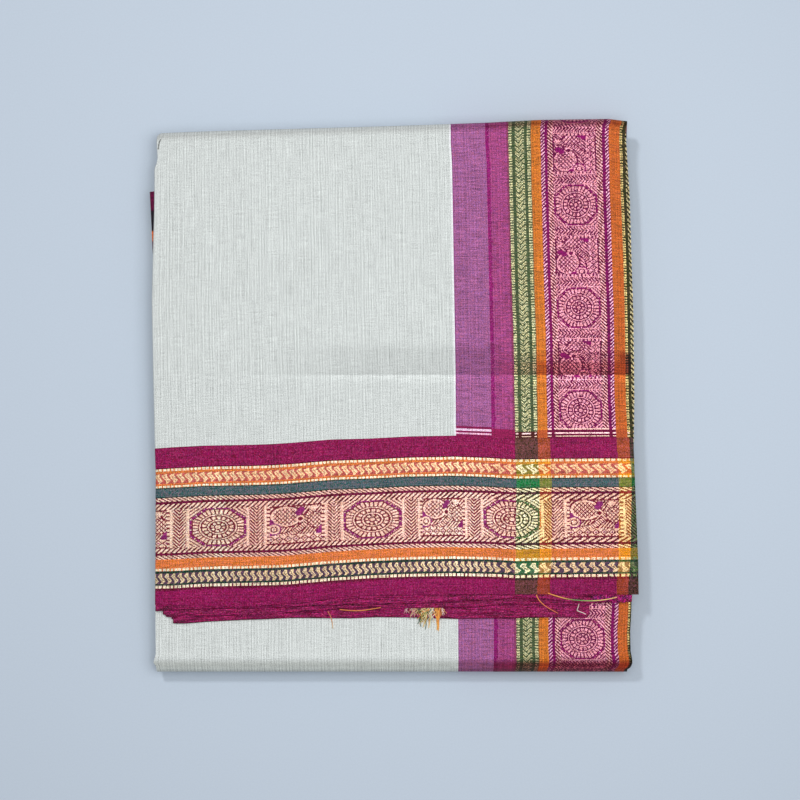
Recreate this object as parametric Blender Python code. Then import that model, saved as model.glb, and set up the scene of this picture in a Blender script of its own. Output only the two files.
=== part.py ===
"""A cotton-silk saree, folded into a flat bundle and lying with its decorated end on top.

The cloth is folded in four across its width and in sixteen along its length. The top flap
shows the plain body, the side border and the banded end piece. The strip below the flap
goes round the bottom fold. Everything inside is one layered stack.
X runs across the bundle, Y along it, and Z up from the surface that it lies on.
"""

import math

import bmesh
import bpy

MM = 0.001

# The whole cloth and its folds, in millimetres like every size below
CLOTH_LENGTH = 5500
CLOTH_WIDTH = 1200
FOLDS_ALONG = 16
FOLDS_ACROSS = 4
BUNDLE_WIDTH = CLOTH_WIDTH / FOLDS_ACROSS
BUNDLE_LENGTH = CLOTH_LENGTH / FOLDS_ALONG

# Heights, from the surface that the bundle lies on
WALL = 1.1
GAP = 0.3
SEAM = 0.15
STACK_TOP = 17.0
STRIP_TOP = STACK_TOP + GAP + WALL
UNDER_BASE = STRIP_TOP + GAP
UNDER_LAYER_RISES = (1.0, 1.3, 1.6)
UNDER_TOP = UNDER_BASE + UNDER_LAYER_RISES[-1]
FLAP_TOP = UNDER_TOP + GAP + WALL
PITCH = 1.25

# Bottom fold, which the lower strip goes round, and the top flap's roll at the other end
BOTTOM_END = -172.5
BOTTOM_RADIUS = STRIP_TOP / 2
BOTTOM_CENTRE = BOTTOM_END + BOTTOM_RADIUS
TUCK_END = -140.0
ROLL_RADIUS = 4.8
ROLL_CENTRE = FLAP_TOP - ROLL_RADIUS
ROLL_TUCK = 5.0
STRIP_START = -104.0
SHELF = 10.0

# Middle of the outline, which stands over the origin
OUTLINE_MIDDLE = (-0.35, 1.05)

# Outline of the bundle. Columns: y, x
LEFT_EDGE = (
    (-170.2, -149.6),
    (-167.4, -151.0),
    (-162.0, -149.3),
    (-127.5, -149.5),
    (-33.3, -149.5),
    (17.0, -150.4),
    (60.9, -151.3),
    (129.4, -150.5),
    (150.1, -148.9),
    (165.0, -149.6),
)
FLAP_RIGHT_EDGE = (
    (-124.3, 153.2),
    (-103.6, 152.9),
    (-25.7, 149.8),
    (17.0, 148.4),
    (94.8, 147.7),
    (130.0, 147.4),
    (170.2, 146.4),
)
UNDER_RIGHT_EDGE = ((-130.0, 149.0), (17.0, 149.9), (90.0, 149.6), (130.0, 148.0), (170.0, 145.8))
LAYER_RIGHT_EDGE = ((-104.0, 149.6), (17.0, 150.7), (91.7, 150.6), (130.0, 148.4), (170.0, 145.4))
STRIP_RIGHT_EDGE = ((-172.5, 147.8), (-168.0, 149.6), (-104.0, 149.3))
STACK_RIGHT_EDGE = ((-172.5, 148.0), (-104.0, 148.4), (91.7, 149.0), (130.0, 147.4), (170.0, 144.8))
LEFT_LAYER_EDGE = (
    (-104.0, -148.2),
    (80.0, -149.3),
    (83.5, -150.6),
    (106.0, -152.6),
    (129.2, -153.9),
    (130.0, -148.6),
    (165.0, -147.5),
)

# Ends of the cloth's stretches. Columns: x, y
TOP_END = (
    (-148.8, 164.5),
    (-121.8, 166.7),
    (3.8, 170.2),
    (57.1, 172.1),
    (91.7, 174.0),
    (135.0, 174.6),
    (146.3, 173.3),
)
PALLU_START = (
    (-149.5, -33.3),
    (-118.7, -30.8),
    (-76.0, -29.5),
    (-35.2, -27.0),
    (3.8, -25.7),
    (38.3, -24.5),
    (76.6, -26.1),
    (150.7, -26.1),
)
PALLU_END = ((-149.5, -127.6), (-60.0, -126.6), (30.0, -125.2), (80.0, -124.3), (153.0, -124.3))
LOWEST_LAYER_END = (
    (-147.0, -136.8),
    (-143.2, -138.5),
    (-139.2, -141.7),
    (-95.5, -140.2),
    (-74.1, -139.2),
    (-46.4, -138.4),
    (54.0, -138.7),
    (91.0, -137.6),
    (112.4, -138.5),
    (123.0, -137.9),
)

# Joins between the body, the mixed strip and the border. Columns: y, x
BODY_JOIN = ((-172.5, 40.6), (-140.0, 40.4), (-24.5, 38.9), (17.0, 38.6), (170.8, 36.1))
MIXED_JOIN = ((-172.5, 63.3), (-140.0, 63.1), (-26.0, 61.2), (17.0, 60.8), (170.8, 57.8))

# Under layers of the flap. Columns: end in y, right edge in x
UNDER_LAYERS = ((-131.9, 123.4), (-129.4, 140.4))

# Soft forms of the flap. Columns: centre, half breadth, height
REFOLD_CREASES = ((13.8, 1.3, -0.55), (17.6, 3.6, 0.35), (9.6, 3.2, 0.25))
PALLU_PUCKERS = ((39.5, 4.5, 0.45), (46.5, 4.0, -0.35), (-60.0, 22.0, 0.25), (95.0, 16.0, 0.2))
LEFT_DROOP = 1.1
LEFT_DROOP_REACH = 3.2
RIGHT_DROOP = 0.45
RIGHT_DROOP_REACH = 9.0

# The stack's uneven folded edges, from the bottom up, repeated. Insets in millimetres
LEFT_STAGGER = (1.4, 0.5, 1.9, 0.9, 0.3, 1.2, 2.1, 0.7)
RIGHT_STAGGER = (0.6, 1.8, 1.0, 2.4, 0.4, 1.5, 0.8, 2.0)
EDGE_BULGE = 0.7
CORNER_RADIUS = 4.0
SIDE_STATIONS = 12

# Colours, as linear red, green and blue, with each cloth's roughness
CREAM = (0.72, 0.71, 0.67)
CREAM_SHADE = (0.60, 0.59, 0.55)
VIOLET = (0.36, 0.11, 0.29)
MAGENTA = (0.30, 0.012, 0.10)
BORDER_MAGENTA = (0.35, 0.08, 0.17)
PALLU_BORDER = (0.26, 0.045, 0.05)
THREAD = (0.62, 0.23, 0.07)
COTTON_SILK = 0.72
ZARI_BORDER = 0.5


def read(table, at):
    """The second column of a table at a value of its first, on straight lines."""
    if at <= table[0][0]:
        return table[0][1]
    for (a, value_a), (b, value_b) in zip(table, table[1:]):
        if at <= b:
            return value_a + (value_b - value_a) * (at - a) / (b - a)
    return table[-1][1]


def bell(distance, half_breadth):
    return math.exp(-((distance / half_breadth) ** 2))


def smooth(share):
    share = min(max(share, 0.0), 1.0)
    return share * share * (3 - 2 * share)


def material(name, colour, roughness):
    made = bpy.data.materials.new(name)
    made.use_nodes = True
    shader = made.node_tree.nodes["Principled BSDF"]
    shader.inputs["Base Color"].default_value = (*colour, 1)
    shader.inputs["Roughness"].default_value = roughness
    shader.inputs["Metallic"].default_value = 0.0
    return made


def placed(name, mesh, finish):
    """A new object for a mesh, with the outline's middle over the origin."""
    mesh.materials.append(finish)
    mesh.shade_smooth()
    mesh.set_sharp_from_angle(angle=math.radians(40))
    made = bpy.data.objects.new(name, mesh)
    made.location = (-OUTLINE_MIDDLE[0] * MM, -OUTLINE_MIDDLE[1] * MM, 0.0)
    bpy.context.scene.collection.objects.link(made)
    return made


def mesh_object(name, points, faces, finish):
    """A new object from points in millimetres."""
    mesh = bpy.data.meshes.new(name)
    mesh.from_pydata([(x * MM, y * MM, z * MM) for x, y, z in points], [], faces)
    return placed(name, mesh, finish)


def cloth_wall(name, rows, finish, thickness=WALL):
    """A wall of cloth whose outer side is a grid of rows, each with the same number of points."""
    width = len(rows[0])
    points = [point for row in rows for point in row]
    faces = []
    for r in range(len(rows) - 1):
        for c in range(width - 1):
            first = r * width + c
            faces.append((first, first + 1, first + width + 1, first + width))
    made = mesh_object(name, points, faces, finish)
    solidify = made.modifiers.new("Wall", "SOLIDIFY")
    solidify.thickness = thickness * MM
    solidify.offset = -1
    solidify.use_even_offset = True
    return made


def flap_relief(x, y):
    """How far the flap rises or sinks from flat, with its drooping sides."""
    rise = sum(height * bell(y - centre, breadth) for centre, breadth, height in REFOLD_CREASES)
    in_pallu = smooth((-10 - y) / 30)
    rise += in_pallu * sum(h * bell(x - centre, breadth) for centre, breadth, h in PALLU_PUCKERS)
    left_reach = (x - read(LEFT_EDGE, y)) / LEFT_DROOP_REACH
    rise -= LEFT_DROOP * (1 - smooth(left_reach)) ** 2
    right_reach = (read(FLAP_RIGHT_EDGE, y) - x) / RIGHT_DROOP_REACH
    rise -= RIGHT_DROOP * (1 - smooth(right_reach))
    return rise


def flap_point(x, y, top=FLAP_TOP):
    return (x, y, top + flap_relief(x, y))


def roll_point(x, angle, tuck=0.0):
    """A point on the flap's roll over the top end: an angle round it, then along its tuck."""
    start = read(TOP_END, x) - ROLL_RADIUS
    droop = flap_relief(x, start) * (1 + math.cos(angle)) / 2
    y = start + ROLL_RADIUS * math.sin(angle) - tuck
    z = ROLL_CENTRE + ROLL_RADIUS * math.cos(angle) + droop
    return (x, y, z)


def columns(left, right, count, edge_steps=()):
    """Places across a stretch: close steps in from a folded left edge, then even ones."""
    steps = [left + step for step in edge_steps]
    start = steps[-1] if steps else left
    first = 1 if steps else 0
    steps += [start + (right - start) * i / count for i in range(first, count + 1)]
    return steps


FOLD_STEPS = (0.0, 0.35, 0.9, 1.8, 3.2, 6.0)
FLAP_STATIONS = (-20, -8, 2, 7, 10, 12.4, 13.8, 15.2, 18, 23, 34, 50, 68, 86, 104, 122, 140, 154)
ROLL_ANGLES = tuple(math.radians(a) for a in (0, 22, 45, 67, 90, 115, 140, 165, 180))
PALLU_STATIONS = (-118, -109, -99, -89, -79, -69, -59, -49, -40)


def flap_stretch(name, left, right, count, finish, edge_steps=()):
    """A stretch of the flap from the end piece's start up to and round the roll."""
    rows = []
    middle = (left(0) + right(0)) / 2
    first = read(PALLU_START, middle)
    across = columns(left(first), right(first), count, edge_steps)
    rows.append([flap_point(x, read(PALLU_START, x) + SEAM) for x in across])
    for y in FLAP_STATIONS:
        rows.append([flap_point(x, y) for x in columns(left(y), right(y), count, edge_steps)])
    across = columns(left(168), right(168), count, edge_steps)
    for angle in ROLL_ANGLES:
        rows.append([roll_point(x, angle) for x in across])
    rows.append([roll_point(x, math.pi, ROLL_TUCK) for x in across])
    return cloth_wall(name, rows, finish)


def pallu_stretch(name, left, right, count, finish, edge_steps=()):
    """A stretch of the decorated end piece, from its cut end up to the body."""
    rows = []
    across = columns(left(-125), right(-125), count, edge_steps)
    rows.append([flap_point(x, read(PALLU_END, x)) for x in across])
    for y in PALLU_STATIONS:
        rows.append([flap_point(x, y) for x in columns(left(y), right(y), count, edge_steps)])
    across = columns(left(-27), right(-27), count, edge_steps)
    rows.append([flap_point(x, read(PALLU_START, x) - SEAM) for x in across])
    return cloth_wall(name, rows, finish)


def strip_stretch(name, left, right, count, finish):
    """A stretch of the lower strip: from under the flap, round the bottom fold and beneath."""
    profile = [(STRIP_START, STRIP_TOP), (-122.0, STRIP_TOP), (-136.0, STRIP_TOP)]
    profile += [(-148.0, STRIP_TOP), (-156.0, STRIP_TOP)]
    for step in range(0, 13):
        angle = math.pi * step / 12
        y = BOTTOM_CENTRE - BOTTOM_RADIUS * math.sin(angle)
        profile.append((y, BOTTOM_RADIUS + BOTTOM_RADIUS * math.cos(angle)))
    profile.append((TUCK_END, 0.0))
    rows = []
    for y, z in reversed(profile):
        rows.append([(x, y, z) for x in columns(left(y), right(y), count)])
    return cloth_wall(name, rows, finish)


def edge(table, inset=0.0):
    """An edge or join as a function of y, moved by an inset."""
    return lambda y: read(table, y) + inset


def make_flap():
    cream = material("body cream", CREAM, COTTON_SILK)
    violet = material("mixed violet", VIOLET, COTTON_SILK)
    border = material("border magenta and zari", BORDER_MAGENTA, ZARI_BORDER)
    left = edge(LEFT_EDGE)
    flap_stretch("flap_body", left, edge(BODY_JOIN, -SEAM), 8, cream, FOLD_STEPS)
    flap_stretch("flap_mixed_strip", edge(BODY_JOIN, SEAM), edge(MIXED_JOIN, -SEAM), 3, violet)
    flap_stretch("flap_border", edge(MIXED_JOIN, SEAM), edge(FLAP_RIGHT_EDGE), 8, border)


def make_pallu():
    magenta = material("pallu magenta", MAGENTA, COTTON_SILK)
    crossing = material("pallu border", PALLU_BORDER, ZARI_BORDER)
    join = edge(MIXED_JOIN, -SEAM)
    pallu_stretch("pallu_field", edge(LEFT_EDGE), join, 18, magenta, FOLD_STEPS)
    pallu_stretch("pallu_border", edge(MIXED_JOIN, SEAM), edge(FLAP_RIGHT_EDGE), 8, crossing)


def make_lower_strip():
    cream = material("lower cream", CREAM_SHADE, COTTON_SILK)
    violet = material("lower violet", VIOLET, COTTON_SILK)
    border = material("lower border", BORDER_MAGENTA, ZARI_BORDER)
    strip_stretch("strip_body", edge(LEFT_EDGE), edge(BODY_JOIN, -SEAM), 8, cream)
    strip_stretch("strip_mixed", edge(BODY_JOIN, SEAM), edge(MIXED_JOIN, -SEAM), 2, violet)
    strip_stretch("strip_border", edge(MIXED_JOIN, SEAM), edge(STRIP_RIGHT_EDGE), 5, border)


def under_rows(top_end, right, rise):
    """Rows of the under layers' outer side at one height, from a cut end to the roll."""
    rows = []
    stations = [-123.6, -110.0, -90.0, -60.0, -30.0, 0.0, 9.0, 13.8, 18.6, 40.0, 75.0, 110.0, 140.0]
    for y in stations:
        across = columns(read(LEFT_EDGE, y) + LEFT_DROOP_REACH, right(y), 12)
        rows.append([flap_point(x, y, UNDER_BASE + rise) for x in across])
    across = columns(read(LEFT_EDGE, 160) + LEFT_DROOP_REACH, right(160), 12)
    rows.append([flap_point(x, top_end(x), UNDER_BASE + rise) for x in across])
    return rows


def make_under_layers():
    """The flap's other layers, as one wall with a stepped, staggered end that shows."""
    finish = material("pallu under layers", MAGENTA, COTTON_SILK)
    lowest, middle, upper = UNDER_LAYER_RISES
    (third_end, third_right), (second_end, second_right) = UNDER_LAYERS
    rows = []
    steps = (
        (None, LOWEST_LAYER_END[-1][0], lowest),
        (third_end - 0.12, LOWEST_LAYER_END[-1][0], lowest),
        (third_end, third_right, middle),
        (second_end - 0.12, third_right, middle),
        (second_end, second_right, upper),
        (PALLU_END[-1][1] - 0.1, second_right, upper),
    )
    for end, right_edge, rise in steps:
        row = []
        for x in columns(LOWEST_LAYER_END[0][0], right_edge, 12):
            y = read(LOWEST_LAYER_END, x) if end is None else end
            row.append(flap_point(x, y, UNDER_BASE + rise))
        rows.append(row)
    rows += under_rows(lambda x: read(TOP_END, x) - ROLL_RADIUS, edge(UNDER_RIGHT_EDGE), upper)
    width = len(rows[0])
    count = len(rows) * width
    points = [point for row in rows for point in row]
    for row in rows:
        points += [(x, y, UNDER_BASE) for x, y, z in row]
    faces = []
    for r in range(len(rows) - 1):
        for c in range(width - 1):
            first = r * width + c
            faces.append((first, first + 1, first + width + 1, first + width))
            faces.append(tuple(count + i for i in (first + width, first + width + 1, first + 1, first)))
    rim = list(range(width))
    rim += [r * width + width - 1 for r in range(1, len(rows))]
    rim += [(len(rows) - 1) * width + c for c in range(width - 2, -1, -1)]
    rim += [r * width for r in range(len(rows) - 2, 0, -1)]
    for a, b in zip(rim, rim[1:] + rim[:1]):
        faces.append((b, a, a + count, b + count))
    mesh_object("flap_under_layers", points, faces, finish)


def make_rolled_corner():
    """The curled corner of the second layer, a small roll beside its cut end."""
    finish = material("rolled corner", MAGENTA, COTTON_SILK)
    start = UNDER_LAYERS[1][1] + GAP
    end = read(FLAP_RIGHT_EDGE, -124.3) - 3.6
    centre_y = PALLU_END[-1][1] - 0.35 - 2.2
    centre_z = UNDER_BASE + 1.0
    sides = 12
    # Columns: share of the length, share of the full section
    sections = ((0.0, 0.55), (0.08, 0.85), (0.25, 1.0), (0.7, 1.0), (0.92, 0.8), (1.0, 0.45))
    points = []
    for share, size in sections:
        x = start + (end - start) * share
        for i in range(sides):
            angle = 2 * math.pi * i / sides
            y = centre_y + 2.2 * size * math.cos(angle)
            points.append((x, y, centre_z + 1.0 * size * math.sin(angle)))
    faces = [tuple(range(sides - 1, -1, -1))]
    for s in range(len(sections) - 1):
        for i in range(sides):
            j = (i + 1) % sides
            faces.append((s * sides + i, s * sides + j, (s + 1) * sides + j, (s + 1) * sides + i))
    last = (len(sections) - 1) * sides
    faces.append(tuple(range(last, last + sides)))
    mesh_object("rolled_corner", points, faces, finish)


def make_side_layers():
    """The layers that peep out past the flap: a corner on the left and a selvedge on the right."""
    magenta = material("peeping corner", MAGENTA, COTTON_SILK)
    border = material("peeping selvedge", BORDER_MAGENTA, ZARI_BORDER)
    stations = [STRIP_START + 0.5, -60.0, -10.0, 40.0, 80.0, 83.5, 106.0, 129.2, 130.0, 158.0]
    left_rows = []
    right_rows = []
    for y in stations:
        outer = read(LEFT_LAYER_EDGE, y)
        inner = read(LEFT_EDGE, y) + SHELF - 0.4
        left_rows.append([(x, y, STRIP_TOP) for x in columns(outer, inner, 2)])
        outer = read(LAYER_RIGHT_EDGE, y)
        inner = read(STACK_RIGHT_EDGE, y) - SHELF + 0.4
        right_rows.append([(x, y, STRIP_TOP) for x in columns(inner, outer, 2)])
    cloth_wall("left_corner_layer", left_rows, magenta)
    cloth_wall("right_selvedge_layer", right_rows, border)


def rounded_frame():
    """Places round a rectangle with round corners, as shares of its width and length."""
    across = CORNER_RADIUS / BUNDLE_WIDTH
    along = CORNER_RADIUS / BUNDLE_LENGTH
    corners = ((1, 0, -90), (1, 1, 0), (0, 1, 90), (0, 0, 180))
    places = []
    for (u, v, turn), (next_u, next_v, _) in zip(corners, corners[1:] + corners[:1]):
        centre_u = across + u * (1 - 2 * across)
        centre_v = along + v * (1 - 2 * along)
        arc = []
        for part in range(4):
            angle = math.radians(turn + 30 * part)
            arc.append((centre_u + across * math.cos(angle), centre_v + along * math.sin(angle)))
        places += arc
        next_angle = math.radians(turn + 90)
        end_u = across + next_u * (1 - 2 * across) + across * math.cos(next_angle)
        end_v = along + next_v * (1 - 2 * along) + along * math.sin(next_angle)
        for step in range(1, SIDE_STATIONS):
            share = step / SIDE_STATIONS
            last_u, last_v = arc[-1]
            places.append((last_u + (end_u - last_u) * share, last_v + (end_v - last_v) * share))
    return places


def stack_bottom(z):
    """The stack's end inside the bottom fold."""
    radius = BOTTOM_RADIUS - WALL - GAP
    reach = max(radius**2 - (z - BOTTOM_RADIUS) ** 2, 0.0)
    return BOTTOM_CENTRE - math.sqrt(reach)


def stack_top_inset(z):
    """How far the stack stays inside the bundle's top end, with two rolls under the flap's."""
    slot_low = ROLL_CENTRE - ROLL_RADIUS - GAP
    slot_high = slot_low + WALL + 2 * GAP
    if z >= slot_high:
        radius = ROLL_RADIUS - WALL - GAP
        return ROLL_RADIUS - math.sqrt(max(radius**2 - (z - ROLL_CENTRE) ** 2, 0.0))
    if z > slot_low:
        return ROLL_RADIUS + ROLL_TUCK + GAP
    half = slot_low / 4
    middle, back = (half, 2.4) if z < slot_low / 2 else (3 * half, 1.3)
    return back + half - math.sqrt(max(half**2 - (z - middle) ** 2, 0.0))


def stack_levels():
    """Heights of the stack's rings: three to a folded strip, and a pair at each step."""
    slot_low = ROLL_CENTRE - ROLL_RADIUS - GAP
    slot_high = slot_low + WALL + 2 * GAP
    steps = (WALL + GAP, slot_low, slot_high, STACK_TOP)
    levels = []
    for layer in range(int(STACK_TOP / PITCH) + 1):
        for share in (0.1, 0.5, 0.9):
            level = (layer + share) * PITCH
            if level < STACK_TOP - 0.1 and all(abs(level - step) > 0.15 for step in steps):
                levels.append(level)
    for step in steps[:-1]:
        levels += [step - 0.05, step + 0.05]
    return [0.0, *sorted(levels), STACK_TOP - 0.05]


def stack_ring(z, frame, shelf=False):
    layer = int(z / PITCH)
    share = z / PITCH - layer
    bulge = EDGE_BULGE * (1 - math.sin(math.pi * share))
    left_inset = LEFT_STAGGER[layer % len(LEFT_STAGGER)] + bulge
    right_inset = RIGHT_STAGGER[layer % len(RIGHT_STAGGER)] + bulge
    if shelf:
        left_inset = right_inset = SHELF
    low = stack_bottom(z)
    if z < WALL + GAP:
        low = TUCK_END + GAP
    if shelf:
        low = STRIP_START + 0.4
    ring = []
    for u, v in frame:
        rough_y = low + v * (168 - low)
        left = read(LEFT_EDGE, rough_y) + left_inset
        right = read(STACK_RIGHT_EDGE, rough_y) - right_inset
        x = left + u * (right - left)
        high = read(TOP_END, x) - stack_top_inset(z)
        ring.append((x, low + v * (high - low), z))
    return ring


def make_stack():
    """The hidden layers as one solid, with folded edges along its sides."""
    finish = material("stack edges", CREAM_SHADE, COTTON_SILK)
    frame = rounded_frame()
    rings = [stack_ring(z, frame) for z in stack_levels()]
    rings.append(stack_ring(STACK_TOP + 0.05, frame, shelf=True))
    rings.append(stack_ring(STRIP_TOP, frame, shelf=True))
    count = len(frame)
    points = [point for ring in rings for point in ring]
    faces = [tuple(range(count - 1, -1, -1))]
    for r in range(len(rings) - 1):
        for i in range(count):
            j = (i + 1) % count
            faces.append((r * count + i, r * count + j, (r + 1) * count + j, (r + 1) * count + i))
    last = (len(rings) - 1) * count
    faces.append(tuple(range(last, last + count)))
    mesh_object("under_stack", points, faces, finish)


# The tuft of loose warp ends. Columns: root x, sideways drift, length, sideways bow
FRINGE_STRANDS = (
    (7.2, -2.6, 9.0, 0.8),
    (8.4, 1.8, 7.2, -0.6),
    (9.9, -1.4, 10.4, 0.5),
    (11.2, 2.4, 8.0, 0.9),
    (12.6, -0.8, 11.0, -0.7),
    (14.0, 1.2, 6.6, 0.4),
    (15.3, 0.6, 10.2, 0.8),
    (16.5, -0.9, 11.3, 0.4),
    (17.7, 0.9, 11.8, -0.5),
    (18.9, -0.6, 11.2, 0.6),
    (20.1, 1.0, 12.0, -0.3),
    (21.3, 0.4, 13.4, 0.5),
    (22.5, 1.4, 12.6, 0.7),
    (23.8, -0.5, 11.0, -0.4),
    (25.1, 1.9, 9.4, 0.8),
    (26.5, 0.8, 13.8, -1.6),
    (28.0, 1.6, 14.6, -1.3),
    (29.6, 0.9, 9.2, 0.7),
)
FRINGE_ROOT_Y = -133.4
FRINGE_RADIUS = 0.3
STRAND_SHARES = (-0.06, 0.1, 0.28, 0.46, 0.64, 0.82, 1.0)


def strand_height(y):
    """Height of a strand's centre, over the lowest layer and then down on the lower strip."""
    on_layer = UNDER_BASE + UNDER_LAYER_RISES[0] + GAP + FRINGE_RADIUS + 0.15
    on_strip = STRIP_TOP + GAP + FRINGE_RADIUS
    return on_strip + (on_layer - on_strip) * (1 - smooth((-y - 138.4) / 4.0))


def strand_rings(x, drift, length, bow):
    """Four-sided rings along one strand, thinner at its free end."""
    rings = []
    for share in STRAND_SHARES:
        y = FRINGE_ROOT_Y - length * max(share, -0.06)
        centre_x = x + drift * share + bow * math.sin(math.pi * max(share, 0.0))
        radius = FRINGE_RADIUS * (1 - 0.45 * max(share, 0.0))
        z = strand_height(y)
        ring = []
        for turn in (0, 90, 180, 270):
            angle = math.radians(turn)
            ring.append((centre_x + radius * math.cos(angle), y, z + radius * math.sin(angle)))
        rings.append(ring)
    return rings


def make_fringe():
    """Loose warp ends whose roots are fused in a narrow strip, just outside the cut end."""
    finish = material("fringe threads", THREAD, COTTON_SILK)
    points = []
    faces = []
    for strand in FRINGE_STRANDS:
        rings = strand_rings(*strand)
        start = len(points)
        points += [point for ring in rings for point in ring]
        for r in range(len(rings) - 1):
            for i in range(4):
                a = start + r * 4 + i
                b = start + r * 4 + (i + 1) % 4
                faces.append((a, b, b + 4, a + 4))
        last = start + (len(rings) - 1) * 4
        faces.append((start + 3, start + 2, start + 1, start))
        faces.append((last, last + 1, last + 2, last + 3))
    strands = mesh_object("fringe_strands", points, faces, finish)
    strands.hide_render = True
    strands.display_type = "WIRE"
    base = UNDER_BASE + UNDER_LAYER_RISES[0] + GAP
    left = FRINGE_STRANDS[0][0] - 1.2
    right = FRINGE_STRANDS[-1][0] + 1.2
    bm = bmesh.new()
    bmesh.ops.create_cube(bm, size=1.0)
    for vertex in bm.verts:
        vertex.co.x = (left + (right - left) * (vertex.co.x + 0.5)) * MM
        vertex.co.y = (FRINGE_ROOT_Y + vertex.co.y * 1.7) * MM
        vertex.co.z = (base + 0.9 * (vertex.co.z + 0.5)) * MM
    mesh = bpy.data.meshes.new("fringe_tuft")
    bm.to_mesh(mesh)
    bm.free()
    backing = placed("fringe_tuft", mesh, finish)
    union = backing.modifiers.new("Strands", "BOOLEAN")
    union.operation = "UNION"
    union.solver = "EXACT"
    union.use_self = True
    union.object = strands


def main():
    for old in list(bpy.data.objects):
        bpy.data.objects.remove(old, do_unlink=True)
    make_stack()
    make_lower_strip()
    make_side_layers()
    make_under_layers()
    make_rolled_corner()
    make_flap()
    make_pallu()
    make_fringe()


main()
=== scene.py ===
"""Looks of a folded cotton-silk saree: its woven faces, folded edges, layers and loose threads.

The tables are in millimetres, as in the bundle's own source, whose outline's middle is
moved over the origin. X runs across the bundle, Y along it, and Z up.
"""

import math

import bpy
import numpy as np
from bpy.props import FloatProperty, FloatVectorProperty, IntProperty, PointerProperty
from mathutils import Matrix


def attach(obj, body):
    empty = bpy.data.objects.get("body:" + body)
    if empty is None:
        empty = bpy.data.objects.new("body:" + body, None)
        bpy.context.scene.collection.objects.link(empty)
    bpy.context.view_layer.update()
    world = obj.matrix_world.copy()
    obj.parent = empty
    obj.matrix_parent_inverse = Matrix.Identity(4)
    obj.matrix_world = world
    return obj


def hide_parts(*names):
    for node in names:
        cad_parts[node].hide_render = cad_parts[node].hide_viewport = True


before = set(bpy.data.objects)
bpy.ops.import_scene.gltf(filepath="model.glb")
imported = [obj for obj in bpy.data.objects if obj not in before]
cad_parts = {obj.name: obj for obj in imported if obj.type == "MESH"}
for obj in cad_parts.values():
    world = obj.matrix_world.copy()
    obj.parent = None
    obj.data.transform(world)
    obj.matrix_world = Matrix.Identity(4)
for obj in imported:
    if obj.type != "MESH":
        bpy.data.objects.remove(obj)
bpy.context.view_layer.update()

bl_info = {
    "name": "Folded saree",
    "version": (1, 0, 0),
    "blender": (4, 5, 0),
    "location": "3D View > Sidebar > Saree",
    "description": "Makes the woven cloth, folded edges and loose threads of a folded saree",
    "category": "Add Mesh",
}

MM = 0.001

# Brings the middle of the outline over the origin, in mm
OUTLINE_SHIFT = np.array((0.35, -1.05, 0.0))

# Heights and folds of the frame. The bottom fold's section is an oval for a power of two
STRIP_TOP = 18.4
FLAP_TOP = 21.7
BOTTOM_END = -172.5
BOTTOM_RADIUS = STRIP_TOP / 2
BOTTOM_CENTRE = BOTTOM_END + BOTTOM_RADIUS
BOTTOM_REACH = 11.0
BOTTOM_POWER = 1.5
TUCK_END = -140.0
STRIP_START = -104.0
ROLL_RADIUS = 4.8
ROLL_CENTRE = FLAP_TOP - ROLL_RADIUS
ROLL_TUCK = 5.0
STACK_TOP = 18.0
SHELF = 10.0

# Breadth of a cell in the side border's plain bands
COARSE_CELL = 1.6

# Lengths along the flap, and widths that the charts are drawn on
FLAP_LENGTH = 195.0
BODY_WIDTH = 188.0
MIXED_WIDTH = 22.0
BORDER_WIDTH = 88.8
FIELD_WIDTH = 211.5
PALLU_LENGTH = 100.2
BANDED_LENGTH = 89.2

# How far below the origin the end piece starts, and where the flap's crease lies in y
PALLU_DEPTH = 26.1
CREASE_Y = 13.8

# Outline of the bundle. Columns: y, x
LEFT_EDGE = (
    (-170.2, -150.3), (-167.4, -151.7), (-162.0, -150.1), (-127.5, -150.3), (-90.0, -150.0),
    (-48.0, -149.9), (-33.3, -150.4), (17.0, -151.5), (60.9, -152.3), (90.0, -151.6),
    (117.0, -150.8), (143.8, -150.6), (146.6, -149.3), (149.5, -148.6), (157.0, -149.0),
    (165.0, -149.5),
)
FLAP_RIGHT_EDGE = (
    (-124.3, 153.7), (-103.6, 153.4), (-77.0, 152.3), (-25.7, 150.3), (-1.9, 149.3), (51.5, 148.5),
    (82.9, 147.8), (115.6, 146.5), (130.0, 145.8), (147.6, 145.5), (160.0, 145.0), (168.9, 145.3),
    (171.5, 146.6), (182.0, 147.2),
)
STRIP_RIGHT_EDGE = (
    (-172.5, 147.6), (-170.4, 149.6), (-167.8, 150.3), (-165.0, 150.0), (-160.0, 149.0),
    (-148.0, 148.7), (-134.0, 149.5), (-104.0, 149.9),
)
STACK_RIGHT_EDGE = (
    (-172.5, 147.6), (-104.0, 148.4), (91.7, 148.4), (130.0, 146.6), (170.0, 144.0),
)
LAYER_RIGHT_EDGE = (
    (-104.0, 150.0), (-1.9, 151.4), (51.5, 150.8), (82.9, 149.7), (115.6, 148.8), (123.7, 148.6),
    (136.3, 147.8), (148.8, 147.0), (158.0, 146.5), (170.0, 146.0),
)
LEFT_LAYER_EDGE = (
    (-104.0, -148.2), (80.0, -149.6), (83.5, -151.6), (92.3, -152.1), (106.0, -152.7),
    (129.2, -153.9), (130.0, -148.6), (165.0, -147.5),
)

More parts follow.
